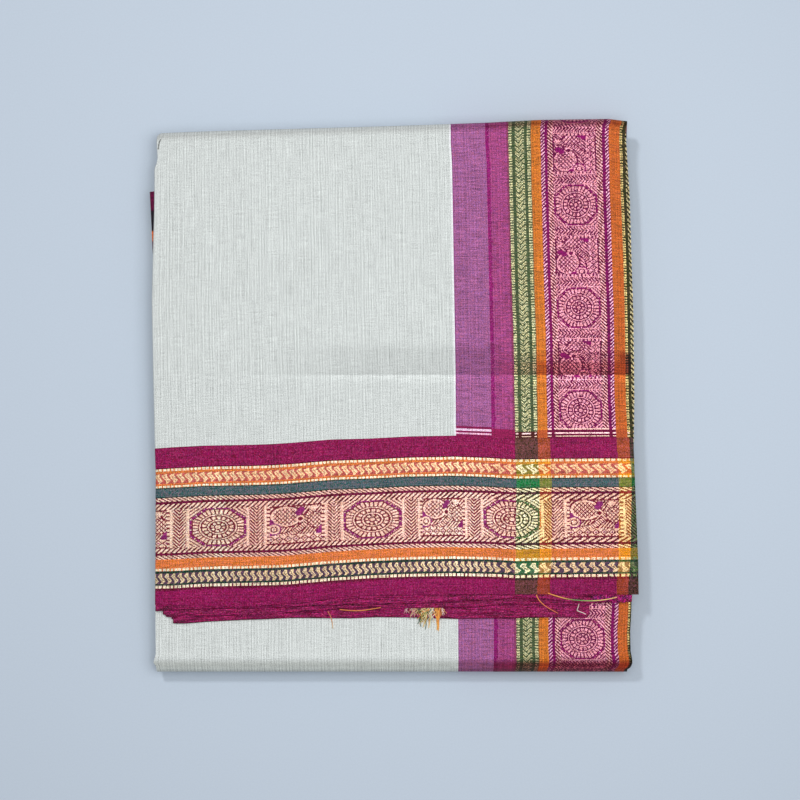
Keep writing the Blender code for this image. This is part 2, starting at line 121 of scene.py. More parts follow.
# Ends of the cloth's stretches. Columns: x, y
TOP_END = (
    (-149.4, 164.4), (-148.0, 165.6), (-146.3, 166.4), (-134.0, 166.9), (-118.0, 167.5),
    (3.8, 171.0), (57.1, 172.9), (91.7, 174.7), (135.0, 175.3), (146.3, 174.0),
)
PALLU_START = (
    (-149.5, -32.3), (-140.0, -31.6), (-118.7, -30.5), (-90.0, -30.0), (-76.0, -29.5),
    (-65.0, -28.8), (-40.0, -26.7), (-15.0, -26.05), (9.0, -24.75), (38.3, -24.2), (60.0, -25.1),
    (76.6, -26.1), (100.0, -25.6), (118.0, -25.5), (150.7, -25.4),
)
PALLU_END = (
    (-149.5, -130.4), (-130.6, -130.8), (-85.4, -131.4), (-71.6, -130.0), (-52.8, -128.6),
    (-35.8, -125.9), (-17.6, -124.6), (19.5, -124.2), (42.7, -123.8), (76.0, -123.8),
    (152.6, -124.1),
)
SECOND_END = (
    (-148.8, -134.7), (-121.8, -133.4), (-103.0, -132.8), (-85.4, -132.9), (-52.8, -131.7),
    (-33.9, -130.8), (-5.0, -130.6), (24.5, -129.4), (42.7, -128.5), (61.5, -127.4), (76.0, -126.9),
    (94.8, -127.5), (113.7, -129.1), (125.0, -129.6), (149.5, -128.7),
)
THIRD_END = (
    (-145.6, -136.9), (-143.6, -137.0), (-143.4, -138.3), (-139.8, -138.5), (-139.6, -139.7),
    (-138.9, -139.8), (-138.7, -138.8), (-130.6, -136.6), (-121.2, -137.9), (-103.0, -137.5),
    (-82.3, -137.2), (-65.3, -135.8), (-46.5, -134.3), (-30.1, -133.1), (-9.4, -132.4),
    (5.0, -133.0), (28.9, -132.7), (53.4, -132.2), (61.5, -131.1), (76.0, -130.4), (96.7, -130.6),
    (113.7, -131.2), (123.6, -130.6),
)
LOWEST_END = (
    (-139.0, -142.5), (-130.6, -142.6), (-118.1, -141.5), (-95.5, -140.4), (-80.4, -139.8),
    (-65.3, -139.1), (-40.0, -139.2), (-27.0, -139.4), (-10.7, -138.6), (11.3, -138.8),
    (39.6, -139.7), (61.5, -139.4), (76.0, -139.6), (84.2, -138.8), (106.0, -138.8),
    (119.9, -139.3), (123.0, -137.4),
)

# How far the end piece's bands stretch along the cloth. Columns: x, share
BAND_STRETCH = (
    (-149.5, 1.004), (-140.0, 1.01), (-118.7, 1.009), (-90.0, 1.008), (-68.0, 1.012),
    (-40.0, 1.011), (-15.0, 1.0), (10.0, 1.004), (42.0, 1.005), (60.0, 0.999), (110.0, 0.998),
    (150.0, 0.995),
)

# Joins between the body, the mixed strip and the border. Columns: y, x
BODY_JOIN = ((-172.5, 40.6), (-140.0, 40.4), (-24.5, 38.9), (17.0, 38.6), (148.0, 36.4), (162.0, 35.6))
MIXED_JOIN = ((-172.5, 62.9), (-140.0, 62.9), (-26.0, 61.2), (17.0, 60.8), (148.0, 58.1), (162.0, 57.2))

# Where the mixed strip and the border start in x at the top end
TOP_MIXED = 36.0
TOP_BORDER = 58.0

# Soft forms of the flap. Columns: centre, half breadth, height
REFOLD_CREASES = ((CREASE_Y, 1.3, -0.3), (19.5, 4.5, 0.35), (9.6, 3.2, 0.3))
PALLU_PUCKERS = ((39.5, 4.5, 0.45), (46.5, 4.0, -0.35), (-60.0, 22.0, 0.25), (95.0, 16.0, 0.2))
FOLD_RADIUS = 1.5
RIGHT_DROOP = 0.45
RIGHT_DROOP_REACH = 9.0

# The side border's bands, from the mixed strip outwards. Columns: end, kind, ground, zari
BORDER_BANDS = (
    (3.4, "ragged", "rose violet", "interlock"),
    (13.1, "plain", "rose violet", "gold"),
    (14.3, "plain", "dark rose", "gold"),
    (16.4, "fine dots", "dark green", "straw"),
    (18.5, "plain", "dark green", "straw"),
    (24.2, "braid down", "dark green", "straw"),
    (26.1, "plain", "dark green", "straw"),
    (28.3, "fine dots", "dark green", "straw"),
    (28.9, "plain", "burnt orange", "straw"),
    (34.7, "plain", "orange", "gold"),
    (37.2, "steep rope", "rope gap", "rope pink"),
    (38.9, "plain", "border line", "gold"),
    (42.3, "steep herringbone", "twill gap", "twill pink"),
    (69.8, "motif", "wine", "pink zari"),
    (73.6, "steep herringbone", "twill gap", "twill pink"),
    (75.5, "plain", "border line", "gold"),
    (77.9, "steep rope", "rope gap", "rope pink"),
    (85.1, "plain", "deep orange", "gold"),
    (86.9, "fine dots", "selvedge", "pale straw"),
    (88.8, "plain", "selvedge", "straw"),
)
STRIP_BORDER_WIDTH = 86.8
STRIP_BORDER_BANDS = (
    *BORDER_BANDS[:-7],
    (70.7, "motif", "wine", "pink zari"),
    (74.4, "steep herringbone", "twill gap", "twill pink"),
    (76.3, "plain", "border line", "gold"),
    (78.7, "steep rope", "rope gap", "rope pink"),
    (84.9, "plain", "deep orange", "gold"),
    (86.1, "fine dots", "selvedge", "pale straw"),
    (STRIP_BORDER_WIDTH, "plain", "selvedge", "straw"),
)

# How far the side border's bands lean to the right on the flap. Columns: y, shift of its inner bands,
# shift of its outer bands
BORDER_LEAN = (
    (-26.0, 0.5, 0.25), (-11.0, 0.65, 0.1), (4.0, 0.46, 0.0), (39.0, 0.5, 0.4), (56.0, 0.2, 0.37),
    (78.0, -0.05, 0.0), (122.0, 0.0, 0.25), (142.0, -0.1, 0.4), (161.0, 0.35, 0.5),
)

# The end piece's bands, from the body down. Columns: end, kind, weft
PALLU_BANDS = (
    (12.5, "plain", "magenta"),
    (13.3, "plain", "line"),
    (14.8, "dots", "orange"),
    (16.3, "plain", "orange"),
    (22.6, "braid right", "rust"),
    (23.8, "plain", "orange"),
    (25.1, "dots", "orange"),
    (25.8, "plain", "slate edge"),
    (30.7, "plain", "slate"),
    (31.4, "plain", "slate edge"),
    (33.8, "rope", "twill"),
    (35.3, "plain", "line"),
    (38.9, "herringbone", "twill"),
    (62.8, "motif", "motif"),
    (65.8, "herringbone", "twill"),
    (67.3, "plain", "line"),
    (69.7, "rope", "twill"),
    (75.4, "plain", "orange"),
    (77.0, "dots", "orange"),
    (78.5, "plain", "slate edge"),
    (84.8, "braid left", "mauve"),
    (86.0, "plain", "slate edge"),
    (87.7, "dots", "line"),
    (89.2, "plain", "line"),
    (100.2, "plain", "low magenta"),
)

# Warps of the end piece's right part. Columns: name, end, and how far the end shifts at each station
# down the piece
WARP_STATIONS = (0.0, 29.0, 75.0, 95.0)
PALLU_WARPS = (
    ("field", 14.3, 0.5, 0.8, -0.6, -1.25),
    ("green", 28.4, 0.45, 1.0, 0.0, -1.75),
    ("orange", 36.4, 0.05, 0.5, -0.6, -2.1),
    ("field", 78.0, 0.3, 0.9, -1.2, -2.8),
    ("orange", 86.2, 0.0, 0.5, -2.0, -3.8),
    ("selvedge", 88.8, 0.0, 0.0, 0.0, 0.0),
)

# Colour of the mixed strip, from 0 to 255
MIXED_VIOLET = (162, 95, 146)

# Colours of the side border's grounds and zaris, and of the plain stretches, from 0 to 255
BORDER_COLOURS = {
    "rose violet": (163, 70, 127),
    "interlock": (140, 16, 104),
    "dark rose": (132, 58, 92),
    "dark green": (74, 88, 58),
    "orange": (206, 116, 42),
    "deep orange": (196, 98, 42),
    "burnt orange": (166, 104, 56),
    "wine": (108, 6, 68),
    "rope gap": (110, 0, 78),
    "twill gap": (104, 22, 52),
    "open": (140, 8, 98),
    "border line": (124, 0, 86),
    "selvedge": (58, 54, 28),
    "gold": (222, 190, 140),
    "straw": (192, 186, 142),
    "pale straw": (206, 180, 116),
    "pink zari": (229, 149, 164),
    "rope pink": (255, 178, 202),
    "twill pink": (248, 172, 176),
}

# Colours where the end piece's wefts cross its warps, and of its zari, from 0 to 255. Columns: the
# warps of WARP_COLOURS
WARP_COLOURS = ("field", "green", "orange", "selvedge")
CROSSINGS = {
    "magenta": ((143, 12, 81), (104, 62, 58), (168, 76, 52), (74, 54, 46)),
    "low magenta": ((141, 4, 82), (104, 58, 56), (156, 62, 40), (78, 48, 40)),
    "line": ((106, 0, 52), (64, 42, 38), (146, 44, 26), (42, 36, 28)),
    "orange": ((223, 121, 63), (205, 142, 40), (248, 152, 34), (130, 112, 42)),
    "rust": ((196, 92, 84), (142, 128, 50), (226, 112, 50), (92, 88, 40)),
    "slate edge": ((34, 62, 54), (12, 88, 50), (90, 98, 48), (16, 60, 40)),
    "slate": ((84, 98, 104), (18, 122, 72), (126, 130, 60), (14, 96, 58)),
    "motif": ((120, 25, 48), (66, 66, 28), (156, 76, 22), (34, 42, 20)),
    "twill": ((102, 10, 40), (60, 56, 24), (150, 66, 18), (30, 36, 18)),
    "open": ((144, 40, 108), (84, 112, 66), (214, 120, 48), (40, 80, 44)),
    "mauve": ((86, 62, 82), (62, 108, 74), (170, 124, 70), (52, 70, 48)),
}
PALLU_ZARI = ((254, 205, 182), (238, 222, 178), (248, 202, 142), (96, 108, 70))

# How the zari darkens along the end piece's field. Columns: x, shares of red, green and blue
ZARI_DIM = (
    (-110.0, 1.0, 1.0, 1.0), (-90.0, 0.95, 0.84, 0.89), (-30.0, 0.94, 0.84, 0.88),
    (20.0, 0.96, 0.88, 0.93), (58.0, 0.96, 0.88, 0.94), (90.0, 0.88, 0.8, 0.8),
)
BRIGHT_DIM = (
    (-110.0, 1.0, 1.0, 1.0), (-90.0, 0.98, 0.93, 0.9), (55.0, 0.98, 0.96, 0.95),
    (66.0, 0.88, 0.8, 0.76),
)
BRIGHT_ZARI = {"dots": (255, 234, 200), "braid right": (246, 198, 146), "braid left": (218, 198, 152)}

# Panels along the end piece's motif row. Columns: end in x, kind. The first row is its start
PALLU_PANELS = (
    (-176.0, "bar"), (-140.4, "bird"), (-138.7, "bar"), (-129.9, "chevrons"), (-128.2, "bar"),
    (-92.1, "wheel"), (-90.5, "bar"), (-81.2, "chevrons"), (-79.6, "bar"), (-43.1, "bird"),
    (-41.4, "bar"), (-33.3, "chevrons"), (-31.7, "bar"), (5.1, "wheel"), (6.7, "bar"),
    (15.2, "chevrons"), (16.7, "bar"), (44.8, "bird"), (46.2, "bar"), (54.8, "chevrons"),
    (56.3, "bar"), (92.1, "wheel"), (93.7, "bar"), (106.4, "chevrons"), (108.1, "bar"),
    (142.9, "bird"), (144.4, "bar"), (160.0, "chevrons"),
)

# Pitch of the side border's panels, middles of a chevron row on the flap and on the strip, and how
# far such a row and the bars beside it reach from its middle
BORDER_PANEL_PITCH = 32.15
BORDER_CHEVRON_ROW = 135.6
STRIP_CHEVRON_ROW = -136.3
CHEVRON_REACH = 2.9
BAR_REACH = 3.4

# Repeats of dots and slanted strokes. Columns: pitch along the band, lean across it, share of zari
STROKES = {
    "dots": (2.45, 0.0, 0.72),
    "fine dots": (1.61, 0.0, 0.6),
    "rope": (3.23, -1.9, 0.56),
    "herringbone": (3.22, 1.2, 0.52),
    "steep rope": (2.18, -0.98, 0.4),
    "steep herringbone": (2.06, 0.88, 0.46),
}
CHEVRON_PITCH = 2.1
BORDER_BRAID_PITCH = 3.2
SELVEDGE_PITCH = 3.06

# Start of the field's chart round the left fold, and how much broader its cells are
FIELD_START = -5.4
FIELD_CELL = 1.08

# Left edges in x of the end piece's two charts, and how much longer its repeats are where it crosses
# the side border
FIELD_LEFT = -149.5
BORDER_LEFT = 62.3
BORDER_SPREAD = 1.47

# What a cell of a chart holds
ZARI = 1.0
GAP = 0.0
OPEN = -1.0


def linear(colour):
    """A colour read from 0 to 255, as linear values."""
    shares = np.asarray(colour, dtype=float) / 255
    return np.where(shares > 0.04045, ((shares + 0.055) / 1.055) ** 2.4, shares / 12.92)


def lookup(table, at):
    """The second column of a table at values of its first, on straight lines."""
    rows = np.asarray(table, dtype=float)
    return np.interp(at, rows[:, 0], rows[:, 1])


def smooth(share):
    share = np.clip(share, 0.0, 1.0)
    return share * share * (3 - 2 * share)


def bell(distance, half_breadth):
    return np.exp(-((distance / half_breadth) ** 2))


# How many waves make up a soft relief
WAVES = 7


def ripples(x, y, seed, length_x, length_y, height):
    """A soft, uneven relief of a few long waves, about as long as said each way."""
    rng = np.random.default_rng(seed)
    relief = 0.0
    for _ in range(WAVES):
        across, along = rng.uniform(0.5, 1.6, 2) * rng.choice((-1, 1), 2)
        phase = rng.uniform(0, 2 * math.pi)
        relief = relief + np.sin(2 * math.pi * (across * x / length_x + along * y / length_y) + phase)
    return relief * height / math.sqrt(WAVES)


def colour_setting(name, description, red, green, blue):
    return FloatVectorProperty(
        name=name,
        description=description,
        subtype="COLOR",
        size=3,
        min=0.0,
        max=1.0,
        default=tuple(linear((red, green, blue))),
    )


def length_setting(name, description, value):
    return FloatProperty(
        name=name, description=description, unit="LENGTH", min=0.0, precision=5, default=value
    )


class SareeSizes(bpy.types.PropertyGroup):
    """Sizes of the cloth and its threads."""

    cell: length_setting("Woven cell", "Breadth of the smallest charted cell of the zari work", 0.00042)
    plain_cell: length_setting("Plain cell", "Breadth of a cell in the plain coloured bands", 0.00066)
    soft_cell: length_setting("Soft cell", "Breadth of a cell in the body, which carries only folds", 0.0019)
    thickness: length_setting("Cloth thickness", "Thickness of one layer of the cloth", 0.00035)
    thread: length_setting("Thread radius", "Radius of a loose thread", 0.00026)
    strands: IntProperty(name="Fringe strands", description="Loose ends in the tuft", min=1, default=86)


class SareeColours(bpy.types.PropertyGroup):
    """Colours of the cloth and of the stage."""

    body: colour_setting("Body", "Bleached cotton of the plain body", 212, 217, 215)
    violet: colour_setting("Mixed violet", "White weft over magenta warp", *MIXED_VIOLET)
    magenta: colour_setting("Magenta", "Silk of the layers under the end piece", 138, 16, 80)
    fold: colour_setting("Folded edges", "Cream of the stack's folded edges", 203, 202, 192)
    floor: colour_setting("Floor", "Pale blue of the surface underneath", 200, 212, 226)


def settings():
    return bpy.context.scene.saree_sizes


def colours():
    return bpy.context.scene.saree_colours


def fill(tree, node, inputs):
    """Links or sets a node's inputs, given by name or number."""
    for key, value in inputs.items():
        if isinstance(value, bpy.types.NodeSocket):
            tree.links.new(value, node.inputs[key])
        else:
            node.inputs[key].default_value = value


def put(tree, kind, inputs=None, **options):
    """A new node with its options and inputs."""
    made = tree.nodes.new(kind)
    for key, value in options.items():
        setattr(made, key, value)
    fill(tree, made, inputs or {})
    return made


def new_material(name):
    """A new material, its node tree and its shader."""
    made = bpy.data.materials.new(name)
    made.use_nodes = True
    return made, made.node_tree, made.node_tree.nodes["Principled BSDF"]


def scaled_colour(tree, colour, shade):
    """A colour times its shade."""
    inputs = {0: colour, "Scale": shade}
    return put(tree, "ShaderNodeVectorMath", inputs, operation="SCALE").outputs[0]


def bump(tree, height, strength, distance):
    """A surface's relief."""
    inputs = {"Height": height, "Strength": strength, "Distance": distance}
    return put(tree, "ShaderNodeBump", inputs).outputs[0]


def object_noise(tree, scale, detail):
    """Noise that stays with its object."""
    place = put(tree, "ShaderNodeTexCoord").outputs["Object"]
    inputs = {"Vector": place, "Scale": scale, "Detail": detail}
    return put(tree, "ShaderNodeTexNoise", inputs).outputs[0]


def streaks(tree, uv, across, along):
    """Uneven streaks on the cloth, with a breadth and a length in metres."""
    scaled = put(tree, "ShaderNodeMapping", {"Vector": uv, "Scale": (1 / across, 1 / along, 1.0)})
    inputs = {"Vector": scaled.outputs[0], "Scale": 1.0, "Detail": 1.0, "Roughness": 0.6}
    return put(tree, "ShaderNodeTexNoise", inputs, noise_dimensions="2D").outputs[0]


def yarn_lines(tree, uv, pitch):
    """Long, fine lines of single yarns, a little uneven, with a pitch in metres."""
    scaled = put(tree, "ShaderNodeMapping", {"Vector": uv, "Scale": (1 / pitch, 100.0, 1.0)})
    inputs = {"Scale": 0.314, "Distortion": 3.6, "Detail": 1.0, "Detail Scale": 0.8}
    return put(tree, "ShaderNodeTexWave", {"Vector": scaled.outputs[0], **inputs}).outputs["Fac"]


def add_share(tree, total, noise, share):
    """Adds a noise, centred on zero and scaled by its share, to a running total."""
    centred = put(tree, "ShaderNodeMath", {0: noise, 1: 0.5}, operation="SUBTRACT")
    inputs = {0: centred.outputs[0], 1: 2 * share, 2: total}
    return put(tree, "ShaderNodeMath", inputs, operation="MULTIPLY_ADD").outputs[0]


# Materials of the cloth. Columns: warp streaks, weft streaks, speckle, patches, bump, roughness
CLOTH_FINISHES = {
    "bleached cotton": (0.5, 0.17, 0.6, 0.02, 0.35, 0.82),
    "mixed violet": (0.5, 0.6, 1.2, 0.08, 0.3, 0.72),
    "border weave": (0.6, 0.5, 1.3, 0.1, 0.25, 0.62),
    "pallu weave": (0.4, 0.5, 1.1, 0.1, 0.25, 0.62),
    "magenta silk": (0.5, 1.3, 1.8, 0.2, 0.35, 0.6),
    "folded edges": (0.4, 0.15, 0.2, 0.1, 0.3, 0.8),
}


def cloth_material(name):
    """Woven cloth whose colour comes from its cells, with slubs, speckle, sheen and zari."""
    if name in bpy.data.materials:
        return bpy.data.materials[name]
    warp, weft, speckle, patches, strength, roughness = CLOTH_FINISHES[name]
    made, tree, shader = new_material(name)
    cells = put(tree, "ShaderNodeAttribute", attribute_name="weave")
    uv = put(tree, "ShaderNodeUVMap", uv_map="cloth").outputs[0]
    slubs = streaks(tree, uv, 0.00062, 0.015)
    weft_streaks = streaks(tree, uv, 0.01, 0.0006)
    grain = streaks(tree, uv, 0.00052, 0.00052)
    shades = (
        (streaks(tree, uv, 0.0008, 0.09), 0.2 * warp),
        (slubs, 0.36 * warp),
        (yarn_lines(tree, uv, 0.00155), 0.15 * warp),
        (yarn_lines(tree, uv, 0.0022), 0.11 * warp),
        (weft_streaks, weft),
        (grain, speckle),
        (streaks(tree, uv, 0.03, 0.04), patches),
    )
    shade = 1.0
    for noise, share in shades:
        shade = add_share(tree, shade, noise, share)
    relief = 0.5
    for noise, share in ((slubs, 0.3), (weft_streaks, 0.25), (grain, 0.45)):
        relief = add_share(tree, relief, noise, share)
    zari = cells.outputs["Alpha"]
    metal = put(tree, "ShaderNodeMath", {0: zari, 1: 0.3}, operation="MULTIPLY")
    gloss = put(tree, "ShaderNodeMapRange", {"Value": zari, "To Min": roughness, "To Max": 0.42})
    looks = {
        "Base Color": scaled_colour(tree, cells.outputs["Color"], shade),
        "Metallic": metal.outputs[0],
        "Roughness": gloss.outputs[0],
        "Normal": bump(tree, relief, strength, 0.00025),
        "Specular IOR Level": 0.14,
        "Sheen Weight": 0.035,
        "Sheen Roughness": 0.45,
    }
    fill(tree, shader, looks)
    return made


def thread_material():
    """Spun silk thread: its colour comes from each strand, with a little speckle and relief."""
    if "silk thread" in bpy.data.materials:
        return bpy.data.materials["silk thread"]
    made, tree, shader = new_material("silk thread")
    strand = put(tree, "ShaderNodeAttribute", attribute_name="weave").outputs["Color"]
    noise = object_noise(tree, 1400.0, 1.0)
    looks = {
        "Base Color": scaled_colour(tree, strand, add_share(tree, 1.0, noise, 0.3)),
        "Normal": bump(tree, noise, 0.5, 0.0001),
        "Roughness": 0.5,
        "Sheen Weight": 0.2,
    }
    fill(tree, shader, looks)
    return made


def repeat(phase, share):
    """One where a repeat's phase lies in its first share, else nothing."""
    return (np.mod(phase, 1.0) < share).astype(float)


def near_path(x, y, path, width):
    """True within half a width of a path of points."""
    nearest = np.full(np.broadcast(x, y).shape, 1e9)
    for (ax, ay), (bx, by) in zip(path, path[1:]):
        length = (bx - ax) ** 2 + (by - ay) ** 2
        share = np.clip(((x - ax) * (bx - ax) + (y - ay) * (by - ay)) / length, 0, 1)
        gap = np.hypot(x - ax - share * (bx - ax), y - ay - share * (by - ay))
        nearest = np.minimum(nearest, gap)
    return nearest < width / 2


def nested(zari, distance, *steps):
    """Lays shapes over a chart, one in another, each given as its edge and what it holds."""
    for edge, held in steps:
        zari = np.where(distance < edge, held, zari)
    return zari


# Rings of a wheel, as shares of its half breadth. Columns: outer, inner, blocks, share of zari
WHEEL_RINGS = ((0.66, 0.61, 1, 1.0), (0.55, 0.41, 17, 0.66), (0.36, 0.31, 1, 1.0), (0.25, 0.15, 8, 0.62))


def wheel(run, across, length, width, rim):
    """A ringed wheel in a frame of eight sides, built of rings of small blocks."""
    u = 2 * run / length - 1
    v = 2 * across / width - 1
    radius = np.hypot(u, v)
    reach = np.maximum(np.maximum(abs(u), abs(v)), (abs(u) + abs(v)) / 1.42)
    reach = np.maximum(reach, radius / 1.1)
    turn = np.arctan2(v, u) / (2 * math.pi)
    zari = repeat((abs(u) + abs(v)) / 0.17 + 0.2, 0.62)
    zari = np.where((reach < 1.0) & (repeat(turn * 24 + 0.3, 0.86) > 0), OPEN, zari)
    zari = nested(zari, reach, (1.0 - rim, GAP), (0.96 - rim, repeat(turn * 34, 0.64)))
    zari = nested(zari, radius, (0.7, GAP))
    for outer, inner, blocks, share in WHEEL_RINGS:
        zari = nested(zari, radius, (outer, repeat(turn * blocks + inner, share)), (inner, GAP))
    return nested(zari, radius, (0.09, ZARI))


def oval(x, y, centre, half, turn=0.0):
    """Distance from an oval's middle, one at its rim."""
    c, s = math.cos(turn), math.sin(turn)
    dx, dy = x - centre[0], y - centre[1]
    return np.hypot((dx * c + dy * s) / half[0], (dy * c - dx * s) / half[1])


# The bird's open spots and the line of its neck, as shares of its panel's length and width
BIRD_SPOTS = ((0.6, 0.12), (0.55, 0.2), (0.9, 0.72), (0.95, 0.64), (0.06, 0.42), (0.04, 0.76))
BIRD_NECK = ((0.1, 0.74), (0.3, 0.78), (0.5, 0.68), (0.66, 0.5), (0.72, 0.3), (0.8, 0.14))


def bird(run, across, length, width):
    """A plain peacock of ovals and strokes over a row of triangles and diamonds."""
    x = run / length
    y = across / width
    lattice = 1 - np.maximum(repeat((run + across) / 2.5, 0.3), repeat((run - across) / 2.5, 0.3))
    zari = repeat((run + 0.9 * across) / 2.1, 0.5)
    zari = np.where((y > 0.03) & (y < 0.97), zari, GAP)
    tail = oval(x, y, (0.33, 0.28), (0.26, 0.25), 0.35)
    zari = nested(zari, tail, (1.16, GAP), (1.02, ZARI), (0.86, lattice))
    zari = np.where(near_path(x, y, BIRD_NECK, 0.15), GAP, zari)
    zari = np.where(near_path(x, y, BIRD_NECK, 0.1), repeat((run - across) / 1.9, 0.58), zari)
    breast = oval(x, y, (0.84, 0.42), (0.13, 0.19))
    zari = nested(zari, breast, (1.15, GAP), (1.0, lattice))
    disc = oval(x, y, (0.125, 0.6), (0.12, 0.15))
    zari = nested(zari, disc, (1.05, OPEN), (0.85, ZARI), (0.55, GAP), (0.35, ZARI))
    eye = oval(x, y, (0.58, 0.36), (0.07, 0.09))
    zari = nested(zari, eye, (1.0, ZARI), (0.6, GAP))
    for spot in BIRD_SPOTS:
        zari = nested(zari, oval(x, y, spot, (0.06, 0.075)), (1.0, OPEN))
    zari = nested(zari, oval(x, y, (0.8, 0.1), (0.07, 0.06)), (1.0, ZARI))
    diamond = abs(np.mod(x / 0.145, 1.0) - 0.5) * 2 + abs(y - 0.865) / 0.09
    tiles = np.where(abs(diamond - 0.85) < 0.2, GAP, ZARI)
    tiles = nested(tiles, diamond, (0.3, OPEN))
    zari = np.where((y > 0.775) & (y < 0.955), tiles, zari)
    posts = (x < 0.05) | (x > 0.95)
    return np.where(posts, repeat(across / 2.4, 0.6), zari)


# Breadth of each kind of wheel's rim, as a share of its half breadth
WHEEL_RIMS = {"wheel": 0.08, "fine wheel": 0.05}


def panel(kind, run, across, length, width):
    """Where the zari shows in one panel of the motif row."""
    if kind in WHEEL_RIMS:
        return wheel(run, across, length, width, WHEEL_RIMS[kind])
    if kind == "bird":
        return bird(run, across, length, width)
    if kind == "chevrons":
        zari = repeat((across + abs(run - length / 2)) / CHEVRON_PITCH, 0.46)
        rim = (run < 0.6) | (run > length - 0.6)
        return np.where(rim, repeat(across / 1.2, 0.5), zari)
    return np.ones(np.broadcast(run, across).shape)


def motif_row(run, across, width, panels):
    """The motif row, panel by panel. Panels give their ends along the run and their kinds."""
    zari = np.zeros(np.broadcast(run, across).shape)
    start = panels[0][0]
    for end, kind in panels[1:]:
        inside = (run[0] >= start) & (run[0] < end)
        if inside.any():
            zari[:, inside] = panel(kind, run[:, inside] - start, across, end - start, width)
        start = end
    return zari


def border_panels(first, low, high):
    """Panels of the side border's motif row, from a chevron row whose middle is given."""
    step = math.floor((low - first) / BORDER_PANEL_PITCH)
    panels = [(first + step * BORDER_PANEL_PITCH - BAR_REACH, "bar")]
    while panels[-1][0] < high:
        middle = first + step * BORDER_PANEL_PITCH
        following = middle + BORDER_PANEL_PITCH
        panels += [(middle - CHEVRON_REACH, "bar"), (middle + CHEVRON_REACH, "chevrons")]
        panels.append((middle + BAR_REACH, "bar"))
        panels.append((following - BAR_REACH, "bird" if step % 2 == 0 else "fine wheel"))
        step += 1
    return panels


# A hooked stroke of the side border's braid. Columns: share of its breadth, rise
HOOK = ((0.0, 1.9), (0.36, 0.0), (0.82, 2.9), (1.0, 2.6))

# Bent strokes of the end piece's braids: pitch, then rows of share of the breadth, left edge and share
# of the pitch
BRAIDS = {
    "braid right": (
        4.7,
        (0.04, 2.6, 0.22),
        (0.2, 0.0, 0.72),
        (0.5, 1.6, 0.68),
        (0.67, 2.8, 0.66),
        (0.8, 3.0, 0.42),
        (0.97, 3.2, 0.14),
    ),
    "braid left": (
        4.1,
        (0.04, 1.1, 0.4),
        (0.33, 0.0, 0.64),
        (0.5, 1.2, 0.54),
        (0.7, 2.2, 0.6),
        (0.85, 2.1, 0.46),
        (0.97, 1.9, 0.3),
    ),
}


def braid(kind, run, across, width):
    """Bent strokes, one after another along the run, each with a short slit."""
    pitch, *rows = BRAIDS[kind]
    place, left, share = np.array(rows).T
    side = across / width
    phase = np.mod((run - np.interp(side, place, left)) / pitch, 1.0)
    breadth = np.interp(side, place, share)
    slit = (abs(phase - 0.45 * breadth) < 0.05) & (abs(side - 0.45) < 0.25)
    return ((phase < breadth) & ~slit).astype(float)


def band_zari(kind, run, across, width, panels, spread):
    """Where the zari shows in a band, for places along its run and across it."""
    if kind == "motif":
        return motif_row(run, across, width, panels)
    run = run / spread
    if kind in STROKES:
        pitch, lean, share = STROKES[kind]
        return repeat((run + lean * across) / pitch, share)
    if kind in BRAIDS:
        return braid(kind, run, across, width)
    if kind == "braid down":
        phase = np.mod((run - lookup(HOOK, across / width)) / BORDER_BRAID_PITCH, 1.0)
        return ((phase < 0.62) & (abs(phase - 0.3) > 0.07)).astype(float)
    if kind == "ragged":
        rng = np.random.default_rng(31)
        reach = 2.0 + 0.9 * rng.random(2000) * (rng.random(2000) < 0.5)
        steps = np.clip(((run + 300) / 1.1).astype(int), 0, 1999)
        return (across < reach[steps]).astype(float)
    return np.zeros(np.broadcast(run, across).shape)


def band_edges(bands, cell, plain_cell):
    """Cell edges across a set of bands, with finer ones where there is zari work."""
    edges = [0.0]
    start = 0.0
    for end, kind, *_ in bands:
        size = plain_cell if kind == "plain" else cell
        count = max(1, round((end - start) / size))
        edges += [start + (end - start) * i / count for i in range(1, count + 1)]
        start = end
    return np.array(edges)


def even_edges(start, end, cell):
    return np.linspace(start, end, max(1, round((end - start) / cell)) + 1)


def stepped_edges(start, *stretches):
    """Cell edges over several stretches, each given as its end and its cell."""
    edges = [[start]]
    for end, cell in stretches:
        edges.append(even_edges(start, end, cell)[1:])
        start = end
    return np.concatenate(edges)


def middles(edges):
    return (edges[1:] + edges[:-1]) / 2


def chart(bands, across, run, panels, spread=1.0):
    """The share of zari over bands, one row to each place across and one column to each along."""
    zari = np.zeros((len(across), len(run)))
    start = 0.0
    for end, kind, *_ in bands:
        inside = (across >= start) & (across < end)
        if kind != "plain" and inside.any():
            places = (across[inside] - start)[:, None]
            zari[inside] = band_zari(kind, run[None, :], places, end - start, panels, spread)
        start = end
    return zari


def band_index(bands, places):
    return np.clip(np.searchsorted([band[0] for band in bands], places, side="right"), 0, len(bands) - 1)


def spun(cells, seed, rows=0.04, columns=0.04, single=0.08, zari=0.18, hue=0.06, sheen_fleck=0.012):
    """Uneven yarn: each row, column and cell of colour varies a little, and random specks of painted sheen
    are added.
    """
    rng = np.random.default_rng(seed)
    shape = cells.shape[:2]
    by_row = rows * rng.standard_normal((shape[0], 1))
    by_column = columns * rng.standard_normal((1, shape[1]))
    shade = 1 + by_row + by_column + single * rng.standard_normal(shape)
    shade = shade + zari * cells[:, :, 3] * rng.standard_normal(shape)
    shift = hue * rng.standard_normal(shape)
    made = cells.copy()
    made[:, :, :3] *= np.clip(shade, 0.4, 1.8)[:, :, None]
    made[:, :, 0] *= 1 + shift
    made[:, :, 2] *= 1 - 1.4 * shift
    # Random specks of painted sheen, strongest in red
    sheen_flecks = sheen_fleck * rng.standard_normal(shape)
    made[:, :, :3] += sheen_flecks[:, :, None] * np.array((1.0, 0.25, 0.5))
    return np.clip(made, 0.0, 1.0)


